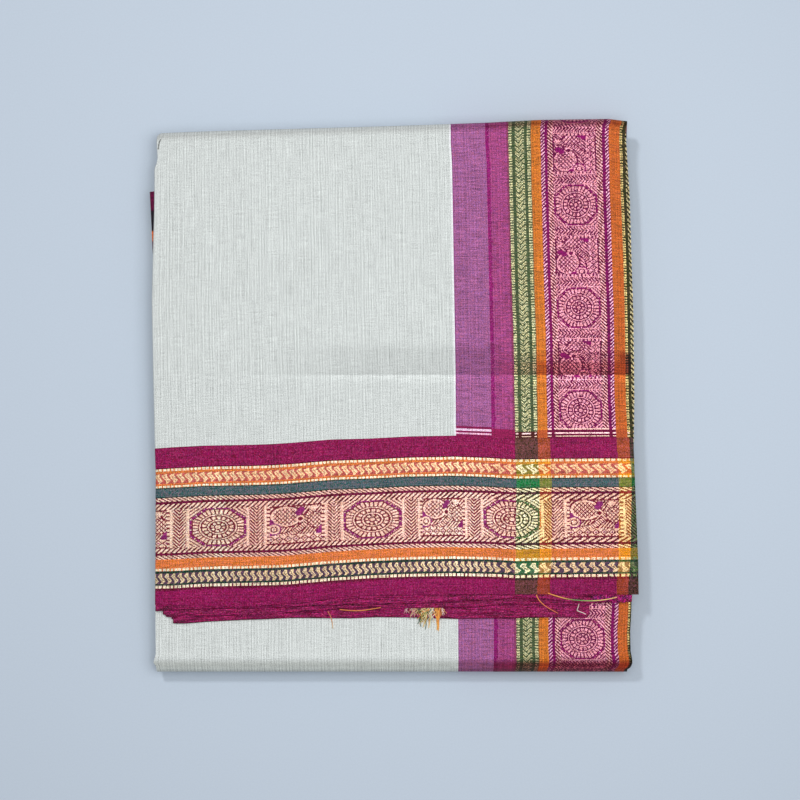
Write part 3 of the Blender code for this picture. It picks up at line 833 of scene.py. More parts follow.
def plain_cells(places, colour):
    """Cells of a grid of places, without zari, in a colour given as linear values."""
    cells = np.zeros((places.shape[0] - 1, places.shape[1] - 1, 4))
    cells[:, :, :3] = colour
    return cells


def flap_relief(x, y):
    """How far the flap rises or sinks from flat."""
    strength = 0.25 + 0.75 * smooth((x + 70) / 50)
    rise = sum(height * bell(y - centre, breadth) for centre, breadth, height in REFOLD_CREASES) * strength
    in_pallu = smooth((-10 - y) / 30)
    rise = rise + in_pallu * sum(h * bell(x - centre, breadth) for centre, breadth, h in PALLU_PUCKERS)
    rise = rise + ripples(x, y, 11, 26, 150, 0.10) + ripples(x, y, 12, 9, 60, 0.035)
    rise = rise + in_pallu * ripples(x, y, 13, 24, 11, 0.05)
    droop = (lookup(FLAP_RIGHT_EDGE, y) - x) / RIGHT_DROOP_REACH
    return rise - RIGHT_DROOP * (1 - smooth(droop))


def flap_place(x, s, depth):
    """Places at a distance s up the flap from the end piece's start, and a depth under its face."""
    turn = lookup(TOP_END, x) - ROLL_RADIUS
    start = lookup(PALLU_START, x)
    band = -np.minimum(s, 0.0)
    stretch = lookup(BAND_STRETCH, x)
    down = np.minimum(band, BANDED_LENGTH) * stretch
    plain = lookup(PALLU_END, x) - (start - BANDED_LENGTH * stretch)
    down = down - np.maximum(band - BANDED_LENGTH, 0.0) / (PALLU_LENGTH - BANDED_LENGTH) * plain
    flat_y = start - down + (turn - start) * np.clip(s, 0.0, FLAP_LENGTH) / FLAP_LENGTH
    beyond = np.maximum(s - FLAP_LENGTH, 0.0)
    angle = np.minimum(beyond / ROLL_RADIUS, math.pi)
    tuck = np.maximum(beyond - math.pi * ROLL_RADIUS, 0.0)
    relief = flap_relief(x, flat_y) * (1 + np.cos(angle)) / 2
    radius = ROLL_RADIUS - depth
    y = flat_y + radius * np.sin(angle) - tuck
    z = ROLL_CENTRE + radius * np.cos(angle) + relief
    return np.stack([x, y, z], axis=-1)


def border_lean(across, s):
    """Sideways shift of the side border's bands, none at its own edges."""
    y, inner, outer = np.array(BORDER_LEAN).T
    share = lookup(((32.0, 0.0), (76.0, 1.0)), across)
    shift = np.interp(s - PALLU_DEPTH, y, inner)[:, None] * (1 - share)
    shift = shift + np.interp(s - PALLU_DEPTH, y, outer)[:, None] * share
    return shift * lookup(((0.0, 0.0), (12.0, 1.0), (76.0, 1.0), (BORDER_WIDTH, 0.0)), across)


def flap_grid(left, right, across, s, width, lean=0.0):
    """A grid of places on the flap, with straight edges on both sides."""
    share = across[None, :] / width
    y = s[:, None] - PALLU_DEPTH
    low = lookup(left, y)
    x = low + share * (lookup(right, y) - low) + lean
    return flap_place(x, s[:, None] + 0 * x, 0.0)


# Places in y where the yarns stop following the left edge, above one on the flap and below one on
# the strip, and how far in from the edge they run straight again
NOTCH_START = 84.0
NOTCH_FADE = 9.0
STRIP_BEND = -140.0
BEND_FADE = 8.0

# Height of the flap's left edge. Columns: distance up the flap, y
LEFT_HEIGHT = ((-100.2, -132.4), (0.0, -32.3), (FLAP_LENGTH, 159.6))


def folded_grid(right, across, s, width):
    """A grid of places on the flap whose left edge turns under in a rounded fold."""
    radius = FOLD_RADIUS * (1 - 0.55 * smooth((s[:, None] - 165) / 30)) + 0 * across[None, :]
    quarter = radius * math.pi / 2
    along = across[None, :] + radius * (math.pi / 2 - 1)
    angle = np.clip(along / radius, -math.pi / 2, math.pi / 2)
    straight = np.maximum(abs(along) - quarter, 0.0)
    inward = radius * (1 - np.cos(angle)) + straight
    depth = radius * (1 - np.sin(angle))
    height = lookup(LEFT_HEIGHT, s)[:, None]
    low = lookup(LEFT_EDGE, height)
    inner_low = lookup(LEFT_EDGE, np.minimum(height, NOTCH_START))
    high = lookup(right, s - PALLU_DEPTH)[:, None]
    x = inner_low + inward * (high - inner_low) / width
    x = x + (low - inner_low) * (1 - smooth(across / NOTCH_FADE))[None, :]
    return flap_place(x, s[:, None] + 0 * x, depth)


def strip_grid(left, right, across, s, width):
    """A grid of places on the lower strip: s runs from under the flap and round the bottom fold."""
    flat = STRIP_START - BOTTOM_CENTRE
    half = math.pi * BOTTOM_RADIUS
    angle = np.clip((s - flat) / BOTTOM_RADIUS, 0.0, math.pi)[:, None]
    y = np.where(s < flat, STRIP_START - s, BOTTOM_CENTRE)[:, None]
    power = BOTTOM_POWER
    pinch = (np.abs(np.sin(angle)) ** power + np.abs(np.cos(angle)) ** power) ** (-1 / power)
    y = y - BOTTOM_REACH * pinch * np.sin(angle) + np.maximum(s - flat - half, 0.0)[:, None]
    z = BOTTOM_RADIUS * (1 + pinch * np.cos(angle))
    edge_low = lookup(left, y)
    edge_high = lookup(right, y)
    inner_low = lookup(left, np.maximum(y, STRIP_BEND))
    x = inner_low + across[None, :] / width * (edge_high - inner_low)
    x = x + (edge_low - inner_low) * (1 - smooth(across / BEND_FADE))[None, :]
    wave = ripples(x, s[:, None], 21, 30, 60, 0.12) * smooth((s[:, None] - 12) / 14)
    wave = wave * (1 + np.cos(angle)) / 2
    return np.stack([x, y + 0 * x, z + wave], axis=-1)


def unit_normals(places):
    """Directions out of a grid's face, whose columns run across and rows along."""
    along = np.gradient(places, axis=0)
    across = np.gradient(places, axis=1)
    normal = np.cross(across, along)
    return normal / np.linalg.norm(normal, axis=-1, keepdims=True).clip(1e-9)


# How many steps the back of a cloth has along and across
BACK_STEPS = (10, 14)


def marks(count, steps):
    """Numbers of evenly spread grid lines, from the first to the last."""
    steps = min(count, steps)
    return sorted({round(count * i / steps) for i in range(steps + 1)})


def linked(name, data):
    """A new object in the scene."""
    made = bpy.data.objects.new(name, data)
    bpy.context.scene.collection.objects.link(made)
    return made


def cloth_piece(name, places, cells, uv, finish):
    """A closed, thin cloth from a grid of places in millimetres, with one colour to a cell.

    The face has every cell. The back has few, and a rim joins them."""
    rows, columns = cells.shape[:2]
    depth = np.full(places.shape[:2], settings().thickness / MM)
    depth[1:-1, 1:-1] *= 2.0
    back = places - unit_normals(places) * depth[:, :, None]
    face_index = np.arange(depth.size).reshape(depth.shape)
    quads = [face_index[:-1, :-1], face_index[:-1, 1:], face_index[1:, 1:], face_index[1:, :-1]]
    row_marks = marks(rows, BACK_STEPS[0])
    column_marks = marks(columns, BACK_STEPS[1])
    kept = np.zeros(depth.shape, dtype=bool)
    kept[np.ix_(row_marks, column_marks)] = True
    kept[0] = kept[-1] = True
    kept[:, 0] = kept[:, -1] = True
    back_index = np.full(kept.shape, -1)
    back_index[kept] = depth.size + np.arange(kept.sum())
    points = np.concatenate([places.reshape(-1, 3), back[kept]])
    points_uv = np.concatenate([uv.reshape(-1, 2), uv[kept]])

    faces = np.stack(quads, axis=-1).reshape(-1, 4).tolist()
    rim = [(0, c) for c in range(columns)] + [(r, columns) for r in range(rows)]
    rim += [(rows, c) for c in range(columns, 0, -1)] + [(r, 0) for r in range(rows, 0, -1)]
    rim_shades = []
    for a, b in zip(rim, rim[1:] + rim[:1]):
        faces.append([face_index[b], face_index[a], back_index[a], back_index[b]])
        rim_shades.append(cells[min(a[0], b[0], rows - 1), min(a[1], b[1], columns - 1)])
    back_shades = []
    for r0, r1 in zip(row_marks, row_marks[1:]):
        for c0, c1 in zip(column_marks, column_marks[1:]):
            low = range(c0, c1) if r0 == 0 else (c0,)
            right = range(r0, r1) if c1 == columns else (r0,)
            high = range(c1, c0, -1) if r1 == rows else (c1,)
            left = range(r1, r0, -1) if c0 == 0 else (r1,)
            loop = [(r0, c) for c in low] + [(r, c1) for r in right]
            loop += [(r1, c) for c in high] + [(r, c0) for r in left]
            faces.append([back_index[place] for place in reversed(loop)])
            shade = cells[r0:r1, c0:c1].reshape(-1, 4).mean(axis=0)
            back_shades.append([*shade[:3], 0.0])
    shades = np.concatenate([cells.reshape(-1, 4), rim_shades, back_shades])
    return coloured_mesh(name, points, faces, shades, points_uv, finish)


def closed_rings(name, rings, cells, uv, finish):
    """A closed body from rings of places in millimetres, with a face at each end."""
    index = np.arange(rings.shape[0] * rings.shape[1]).reshape(rings.shape[:2])
    following = np.roll(index, -1, axis=1)
    quads = [index[:-1], following[:-1], following[1:], index[1:]]
    faces = np.stack(quads, axis=-1).reshape(-1, 4).tolist()
    faces += [index[0][::-1].tolist(), index[-1].tolist()]
    shades = np.concatenate([cells.reshape(-1, 4), cells[0, :1], cells[-1, :1]])
    return coloured_mesh(name, rings.reshape(-1, 3), faces, shades, uv.reshape(-1, 2), finish)


def coloured_mesh(name, points, faces, shades, points_uv, finish):
    """A smooth object from places in millimetres, with a colour to a face and a cloth map."""
    mesh = bpy.data.meshes.new(name)
    mesh.from_pydata(((points + OUTLINE_SHIFT) * MM).tolist(), [], faces)
    counts = np.array([len(face) for face in faces])
    attribute = mesh.attributes.new("weave", "FLOAT_COLOR", "CORNER")
    attribute.data.foreach_set("color", np.repeat(shades, counts, axis=0).astype(np.float32).ravel())
    corners = np.empty(len(mesh.loops), dtype=np.int32)
    mesh.loops.foreach_get("vertex_index", corners)
    layer = mesh.uv_layers.new(name="cloth")
    layer.uv.foreach_set("vector", points_uv[corners].astype(np.float32).ravel())
    mesh.materials.append(finish)
    mesh.shade_smooth()
    mesh.set_sharp_from_angle(angle=math.radians(50))
    return linked(name, mesh)


def grid_uv(across, along):
    """The cloth map of a grid, in metres."""
    u, v = np.meshgrid(across * MM, along * MM)
    return np.stack([u, v], axis=-1)


# Sheets of cloth. Columns: finish, slot, node, start of its map, then width and length of its cut in
# metres
SHEETS = {
    "flap_body_cloth": ("bleached cotton", "body_cream", "flap_body", 0, 0.193, 0.215),
    "flap_violet_cloth": ("mixed violet", "mixed_violet", "flap_mixed_strip", 190, 0.022, 0.215),
    "flap_border_cloth": ("border weave", "border_magenta", "flap_border", 212, 0.0888, 0.215),
    "pallu_field_cloth": ("pallu weave", "pallu_magenta", "pallu_field", 0, 0.2165, 0.1002),
    "pallu_border_cloth": ("pallu weave", "pallu_border", "pallu_border", 212, 0.0888, 0.1002),
    "strip_body_cloth": ("bleached cotton", "body_cream", "strip_body", 7, 0.188, 0.111),
    "strip_violet_cloth": ("mixed violet", "mixed_violet", "strip_mixed", 7, 0.022, 0.111),
    "strip_border_cloth": ("border weave", "border_magenta", "strip_border", 7, 0.087, 0.111),
    "second_ply": ("magenta silk", "under_magenta", "flap_under_layers", 0, 0.285, 0.295),
    "third_ply": ("magenta silk", "under_magenta", "flap_under_layers", 0, 0.285, 0.295),
    "lowest_ply": ("magenta silk", "under_magenta", "flap_under_layers", 0, 0.285, 0.295),
    "left_corner_cloth": ("magenta silk", "under_magenta", "left_corner_layer", 0, 0.01, 0.2635),
    "right_selvedge_cloth": ("border weave", "border_magenta", "right_selvedge_layer", 0, 0.0125, 0.2705),
}


def keep(piece, slot, *nodes):
    """Lets a finished piece ride on the bundle and stand for its nodes."""
    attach(piece, "root")
    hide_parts(*nodes)
    return piece


def woven(name, places, cells, across, along):
    """A sheet of the table above, from its places and the distances across and along its chart."""
    finish, slot, node, start, width, length = SHEETS[name]
    uv = grid_uv(across + start, along)
    piece = keep(cloth_piece(name, places, cells, uv, cloth_material(finish)), slot, node)


def flap_rows(cell):
    """Cell edges along the flap, round its roll and along its tuck."""
    around = FLAP_LENGTH + math.pi * ROLL_RADIUS
    ends = ((FLAP_LENGTH, cell), (around, min(cell, 1.0)), (around + ROLL_TUCK, 1.6))
    return stepped_edges(0.0, *ends)


class SAREE_OT_flap(bpy.types.Operator):
    """Make the flap's plain body, mixed strip and side border"""

    bl_idname = "saree.flap"
    bl_label = "Flap"

    def execute(self, context):
        self.make_body()
        self.make_mixed_strip()
        self.make_border()
        return {"FINISHED"}

    def make_body(self):
        cell = settings().soft_cell / MM
        across = stepped_edges(-5.0, (6.0, 0.4), (BODY_WIDTH - 1.0, cell), (BODY_WIDTH, 1.0))
        finer = (even_edges(32.0, 52.0, 0.5), even_edges(183.0, 199.0, 0.5))
        rows = np.unique(np.concatenate([flap_rows(cell), *finer]))
        places = folded_grid(BODY_JOIN, across, rows, BODY_WIDTH)
        cells = plain_cells(places, colours().body)
        cells[:, middles(across) > BODY_WIDTH - 1.2, :3] = linear((246, 246, 250))
        tone(cells, flap_tone(places, (0.76, 0.75, 0.75)) * corner_slit(places))
        woven("flap_body_cloth", places, cells, across, rows)

    def make_mixed_strip(self):
        across = even_edges(0.0, MIXED_WIDTH, 0.6)
        rows = np.unique(np.concatenate([flap_rows(0.6), even_edges(0.0, 7.2, 0.24)]))
        places = flap_grid(BODY_JOIN, MIXED_JOIN, across, rows, MIXED_WIDTH)
        cells = plain_cells(places, colours().violet)
        cells[:, 0, :3] = linear((140, 70, 124))
        s = middles(rows)
        for start, end, *colour in MIXED_PICKS:
            cells[(s > start) & (s < end), :, :3] = linear(colour)
        cells = spun(cells, 41, 0.05, 0.05, 0.08)
        tone(cells, flap_tone(places, (0.68, 0.6, 0.62)))
        woven("flap_violet_cloth", places, cells, across, rows)

    def make_border(self):
        cell = settings().cell / MM
        across = band_edges(BORDER_BANDS, cell, COARSE_CELL)
        rows = flap_rows(cell)
        run = middles(rows) - PALLU_DEPTH
        zari = chart(BORDER_BANDS, middles(across), run, border_panels(BORDER_CHEVRON_ROW, -30, 210)).T
        lean = border_lean(across, rows)
        places = flap_grid(MIXED_JOIN, FLAP_RIGHT_EDGE, across, rows, BORDER_WIDTH, lean)
        # More zari is hidden above the crease, as painted shade
        hidden = 0.14 + 0.14 * crease_zone(places)[:, :, 0]
        cells = border_cells(zari, BORDER_BANDS, middles(across), 51, hidden)
        border_change(cells, middles(rows), middles(across))
        tone(cells, flap_tone(places, (0.5, 0.36, 0.4)))
        woven("flap_border_cloth", places, cells, across, rows)


def border_cells(zari, bands, across, seed, hidden):
    """Colours of the side border: one row to each place along, one column to each band's cell.

    A share of the zari is hidden, and callers hide more of it as painted shade over the crease and round the
    bottom fold."""
    index = band_index(bands, across)
    chance = np.random.default_rng(seed + 1).random(zari.shape)
    zari = np.where((zari > 0) & (chance < hidden), GAP, zari)
    ground = np.array([linear(BORDER_COLOURS[bands[i][2]]) for i in index])
    bright = np.array([linear(BORDER_COLOURS[bands[i][3]]) for i in index])
    cells = np.zeros((*zari.shape, 4))
    share = np.clip(zari, 0.0, 1.0)
    cells[:, :, :3] = ground[None] + (bright - ground)[None] * share[:, :, None]
    cells[zari < 0, :3] = linear(BORDER_COLOURS["open"])
    metal = np.array([0.0 if bands[i][1] == "ragged" else 1.0 for i in index])
    cells[:, :, 3] = share * metal[None]
    return spun(cells, seed, single=0.12)


# How much painted shade darkens the cloth above the refolded crease. Columns: x, share
CREASE_SHADE = (
    (-110.0, 0.0), (-75.0, 0.035), (-20.0, 0.12), (36.0, 0.135), (41.0, 0.2), (61.0, 0.22),
    (84.0, 0.26), (92.0, 0.47), (150.0, 0.48),
)

# How that shade fades upwards, on the body and on the side border. Columns: height over the crease, share
BODY_FADE = ((-0.4, 0.0), (0.4, 1.0), (15.0, 1.0), (21.0, 0.0))
BORDER_FADE = ((-0.4, 0.0), (0.4, 1.0), (7.0, 1.0), (9.5, 0.5), (13.5, 0.42), (16.0, 0.0))


def tone(cells, factor):
    """Darkens or lightens cells by a factor for each."""
    factor = factor if factor.ndim == 3 else factor[:, :, None]
    cells[:, :, :3] = np.clip(cells[:, :, :3] * factor, 0.0, 1.0)


def centres(places):
    """The middles of a grid's cells."""
    return (places[:-1, :-1] + places[1:, 1:]) / 2


def on_border(x):
    """One on the side border and nothing on the body, with a soft change."""
    return smooth((x - 62) / 10)


def crease_zone(places):
    """How fully the crease shades each cell: near one just above it on the border."""
    x, y = np.moveaxis(centres(places)[:, :, :2], 2, 0)
    border = on_border(x)
    above = y - CREASE_Y
    share = (1 - border) * lookup(BODY_FADE, above) + border * lookup(BORDER_FADE, above)
    return share[:, :, None]


def flap_tone(places, end_shade):
    """Painted shade above the flap's crease, at its right edge, along thin wrinkles and over its rolled top
    end; painted light in a band just below the crease.
    """
    x, y = np.moveaxis(centres(places)[:, :, :2], 2, 0)
    above = y - CREASE_Y
    # Painted shade above the crease, redder on the side border
    shade = lookup(CREASE_SHADE, x)
    darker = (shade * smooth((x + 120) / 60))[:, :, None] * crease_zone(places)
    border = on_border(x)[:, :, None]
    darker = darker * (1 + border * np.array((-0.25, 0.25, 0.2)))
    # Painted light in a narrow band just below the crease
    painted_light = 0.9 * shade * smooth((0.4 - above) / 0.8) * bell(np.minimum(above, 0.0), 4.5)
    # Painted shade at the right edge above the crease: a spot on the orange stripe and a band over the
    # selvedge
    spot_shade = bell(np.hypot((x - 143.6) / 1.6, (y - 25.0) / 3.4), 1.0)
    selvedge = smooth((x - 144.6) / 1.2) * lookup(((13.0, 0.0), (15.5, 1.0), (26.0, 1.0), (29.0, 0.0)), y)
    edge_shade = np.maximum(spot_shade, selvedge)[:, :, None] * np.array((0.55, 0.78, 0.68))
    factor = (1 - darker + painted_light[:, :, None]) * (1 - edge_shade)
    # Painted shade along the thin wrinkles
    for path in WRINKLE_SHADE_LINES:
        factor[near_path(x, y, path, 0.7)] *= 0.8
    # Painted shade over the rolled top end, in the colour of its end shade
    from_end = lookup(TOP_END, x) - y
    rolled = np.maximum(bell(from_end - 2.8, 1.5), 0.7 * (1 - smooth((from_end - 3) / 4)))
    return factor * (1 - rolled[:, :, None] * (1 - np.array(end_shade)))


# Painted shade of thin wrinkles beside the mixed strip, drawn as dark lines, as places in x and y
WRINKLE_SHADE_LINES = (
    ((64.1, 21.4), (69.7, 20.7), (74.7, 18.2)),
    ((65.3, -10.7), (74.1, -13.2)),
)

# The fold's small opening at the top left, as places in x and y
SLIT = ((-146.6, 161.6), (-147.6, 159.2), (-148.0, 155.9))


def corner_slit(places):
    """Shade of the small opening at the flap's top left corner, and of the edge beside it."""
    x, y = np.moveaxis(centres(places)[:, :, :2], 2, 0)
    dark = near_path(x, y, SLIT, 0.75)
    crease = near_path(x, y, ((-144.6, 165.0), SLIT[0]), 0.5)
    return np.where(dark, 0.3, np.where(crease, 0.78, 1.0))[:, :, None]


# Picks across the mixed strip where the end piece's weft begins, then the white ones across the
# border. Columns: start, end, red, green, blue
MIXED_PICKS = (
    (0.0, 6.3, 134, 22, 78),
    (3.45, 4.8, 242, 204, 232),
    (1.1, 2.2, 246, 190, 218),
)
CHANGE_PICKS = (
    (0.7, 1.35, 244, 208, 184),
    (2.4, 3.25, 252, 204, 204),
    (5.1, 5.9, 236, 186, 176),
)


def picks_across(across, *stretches):
    """True where a place across lies in one of the stretches."""
    return np.any([(across > start) & (across < end) for start, end in stretches], axis=0)


def border_change(cells, s, across):
    """The last rows of the side border, where the end piece's magenta weft begins."""
    rng = np.random.default_rng(55)
    in_field = picks_across(across, (34.7, 77.9))
    in_green = picks_across(across, (14.3, 28.5))
    dashes = picks_across(across, (14.9, 16.2), (18.0, 24.6), (26.5, 27.8), (85.3, 86.6))
    picks = picks_across(across, (34.8, 37.1), (39.2, 73.4), (75.7, 77.8))
    orange = picks_across(across, (28.3, 34.7), (77.9, 85.1))
    for row in np.nonzero(s < 6.1)[0]:
        at = s[row]
        if at < 5.1:
            cells[row, in_field] = [*linear((112, 4, 58)), 0.0]
            cells[row, orange, :3] = linear((188, 86, 44))
        if at < 5.6:
            cells[row, across < 14.3] = [*linear((146, 22, 80)), 0.0]
        if at < 4.1:
            cells[row, in_green] = [*linear((78, 28, 28)), 0.0]
        for start, end, *colour in CHANGE_PICKS:
            if start < at < end:
                with_dashes = end < 3.2 or 2.7 < at < 4
                chosen = (picks | dashes & with_dashes) & (rng.random(len(across)) < 0.9)
                cells[row, chosen] = [*linear(colour), 1.0]


class SAREE_OT_pallu(bpy.types.Operator):
    """Make the decorated end piece: its field, and where it crosses the side border"""

    bl_idname = "saree.pallu"
    bl_label = "End piece"

    def execute(self, context):
        cell = settings().cell / MM
        bands = band_edges(PALLU_BANDS, cell, settings().plain_cell / MM)[::-1]
        across = even_edges(FIELD_START, FIELD_WIDTH, FIELD_CELL * cell)
        places = folded_grid(MIXED_JOIN, across, -bands, FIELD_WIDTH)
        warps = np.zeros((len(bands) - 1, len(across) - 1), dtype=int)
        self.make("pallu_field_cloth", places, bands, across, warps, FIELD_LEFT, 1.0, 61)

        across = even_edges(0.0, BORDER_WIDTH, cell)
        places = flap_grid(MIXED_JOIN, FLAP_RIGHT_EDGE, across, -bands, BORDER_WIDTH)
        warps = warp_index(middles(across), middles(bands))
        self.make("pallu_border_cloth", places, bands, across, warps, BORDER_LEFT, BORDER_SPREAD, 62)
        return {"FINISHED"}

    def make(self, name, places, bands, across, warps, left, spread, seed):
        """Cloth with the end piece's bands, from the last one up, and from its left edge in x."""
        run = middles(across) + left
        down = middles(bands)
        zari = chart(PALLU_BANDS, down, run, PALLU_PANELS, spread)
        cells = pallu_cells(zari, down, warps, run, seed)
        woven(name, places, cells, across, -bands)


def warp_index(across, down):
    """The number of the warp at each cell of the end piece's right part."""
    index = np.zeros((len(down), len(across)), dtype=int)
    for _, end, *shifts in PALLU_WARPS[:-1]:
        index += across[None, :] > end + np.interp(down, WARP_STATIONS, shifts)[:, None]
    return index


def dimmed(table, run):
    """Shares of red, green and blue at places along the end piece."""
    x, *shares = np.array(table).T
    return np.stack([np.interp(run, x, share) for share in shares], axis=-1)


def pallu_cells(zari, bands, warps, run, seed):
    """Colours of the end piece, from the weft of each row and the warp of each cell."""
    names = [name for name, *_ in PALLU_WARPS]
    columns = [WARP_COLOURS.index(name) for name in names]
    table = np.array([linear(CROSSINGS[band[2]])[columns] for band in PALLU_BANDS])
    bright = linear(PALLU_ZARI)[columns]
    opened = linear(CROSSINGS["open"])[columns]
    rows = band_index(PALLU_BANDS, bands)
    ground = table[rows[:, None], warps]
    zaris = bright[warps]
    in_field = (np.array(names)[warps] == "field")[:, :, None]
    for number, band in enumerate(PALLU_BANDS):
        if band[1] in BRIGHT_ZARI:
            here = rows == number
            share = 0.75 * in_field[here]
            zaris[here] += share * (linear(BRIGHT_ZARI[band[1]]) - zaris[here])
    # Painted highlights on the zari over two puckers, and painted shade in the fold beside the second
    glints_and_shade = 1 + 0.22 * bell(run + 108, 4) + 0.25 * bell(run - 40, 9) - 0.2 * bell(run - 44.5, 3)
    is_bright = np.array([PALLU_BANDS[number][1] in BRIGHT_ZARI for number in rows])[:, None, None]
    dims = np.where(is_bright, dimmed(BRIGHT_DIM, run)[None], dimmed(ZARI_DIM, run)[None])
    zaris = zaris * np.where(in_field, dims, 1.0)
    chance = np.random.default_rng(seed + 1).random(zari.shape)
    zari = np.where((zari > 0) & (chance < lookup(((55.0, 0.0), (66.0, 0.08)), run)), GAP, zari)
    share = np.clip(zari, 0.0, 1.0)
    cells = np.zeros((*zari.shape, 4))
    cells[:, :, :3] = ground + (zaris * glints_and_shade[None, :, None] - ground) * share[:, :, None]
    open_cells = zari < 0
    cells[open_cells, :3] = opened[warps][open_cells]
    cells[bands < 0.6, :, :3] *= 0.86
    cells[:, :, 3] = share
    return spun(cells, seed, rows=0.07, columns=0.04, single=0.11, zari=0.16, hue=0.07, sheen_fleck=0.055)


def turned_under(places):
    """How far each cell of the lower strip has turned into its bottom fold."""
    return 1 - smooth((centres(places)[:, :, 1] - BOTTOM_END - 3.5) / 4.5)


def strip_tone(places, end_shade):
    """Painted shade of the lower strip towards its bottom fold, with painted light in a line along the fold
    and in two soft bands.
    """
    x, y = np.moveaxis(centres(places)[:, :, :2], 2, 0)
    from_end = y - BOTTOM_END
    factor = 1 - turned_under(places)[:, :, None] * (1 - np.array(end_shade))
    # Painted light: a bright line along the fold, and soft bands that ease the painted shade
    lit_line = 0.3 * bell(from_end - 1.9, 0.7) * smooth((x - TOP_MIXED) / 4)
    lit_bands = 0.045 * bell(from_end - 8.5, 3.0) + 0.16 * bell(from_end - 0.9, 1.3) * (x < TOP_MIXED)
    return factor * (1 + lit_line + lit_bands)[:, :, None]


class SAREE_OT_lower_strip(bpy.types.Operator):
    """Make the strip of cloth under the flap, which goes round the bottom fold"""

    bl_idname = "saree.lower_strip"
    bl_label = "Lower strip"

    def execute(self, context):
        cell = settings().cell / MM
        rows = self.rows(1.1, 4)
        across = stepped_edges(0.0, (6.0, 0.6), (BODY_WIDTH, 2.4))
        places = strip_grid(LEFT_EDGE, BODY_JOIN, across, rows, BODY_WIDTH)
        cells = plain_cells(places, colours().body)
        # Painted light: the strip's body is made 4 % brighter than the flap's same cotton
        tone(cells, 1.04 * strip_tone(places, (0.87, 0.87, 0.84)))
        woven("strip_body_cloth", places[::-1], cells[::-1], across, rows[::-1])

        across = even_edges(0.0, MIXED_WIDTH, 0.6)
        places = strip_grid(BODY_JOIN, MIXED_JOIN, across, rows, MIXED_WIDTH)
        cells = spun(plain_cells(places, colours().violet), 71, 0.05, 0.05, 0.05)
        tone(cells, strip_tone(places, (0.76, 0.7, 0.66)))
        woven("strip_violet_cloth", places[::-1], cells[::-1], across, rows[::-1])

        rows = self.rows(cell, 3)
        bands = STRIP_BORDER_BANDS
        across = band_edges(bands, cell, COARSE_CELL)
        run = STRIP_START - middles(rows)
        zari = chart(bands, middles(across), run, border_panels(STRIP_CHEVRON_ROW, -240, -90)).T
        places = strip_grid(MIXED_JOIN, STRIP_RIGHT_EDGE, across, rows, STRIP_BORDER_WIDTH)
        # More zari is hidden as the strip turns into its bottom fold, as painted shade
        cells = border_cells(zari, bands, middles(across), 72, 0.07 + 0.3 * turned_under(places))
        tone(cells, strip_tone(places, (0.56, 0.24, 0.3)))
        dark = (run[:, None] < -156.0) & (middles(across)[None, :] > 84.9)
        cells[dark, :3] *= 0.3
        woven("strip_border_cloth", places[::-1], cells[::-1], across, rows[::-1])
        return {"FINISHED"}

    def rows(self, cell, tuck_cell):
        """Cell edges along the strip, from under the flap round the bottom fold to the tuck's end."""
        around = STRIP_START - BOTTOM_CENTRE + math.pi * BOTTOM_RADIUS
        end = around + TUCK_END - BOTTOM_CENTRE
        return stepped_edges(0, (16, 4), (around, cell), (end, tuck_cell))


# Length of an under layer's chart, and of the part of it that shows
PLY_LENGTH = 285.0
PLY_SHOWN = 18.0

# Under layers of the flap. Columns: name, end, height of the face, left edge, right edge, seed
PLIES = (
    ("second_ply", SECOND_END, 20.75, -150.0, 149.5, 81),
    ("third_ply", THIRD_END, 20.05, -145.3, 124.0, 82),
    ("lowest_ply", LOWEST_END, 19.35, -139.0, 123.0, 83),
)


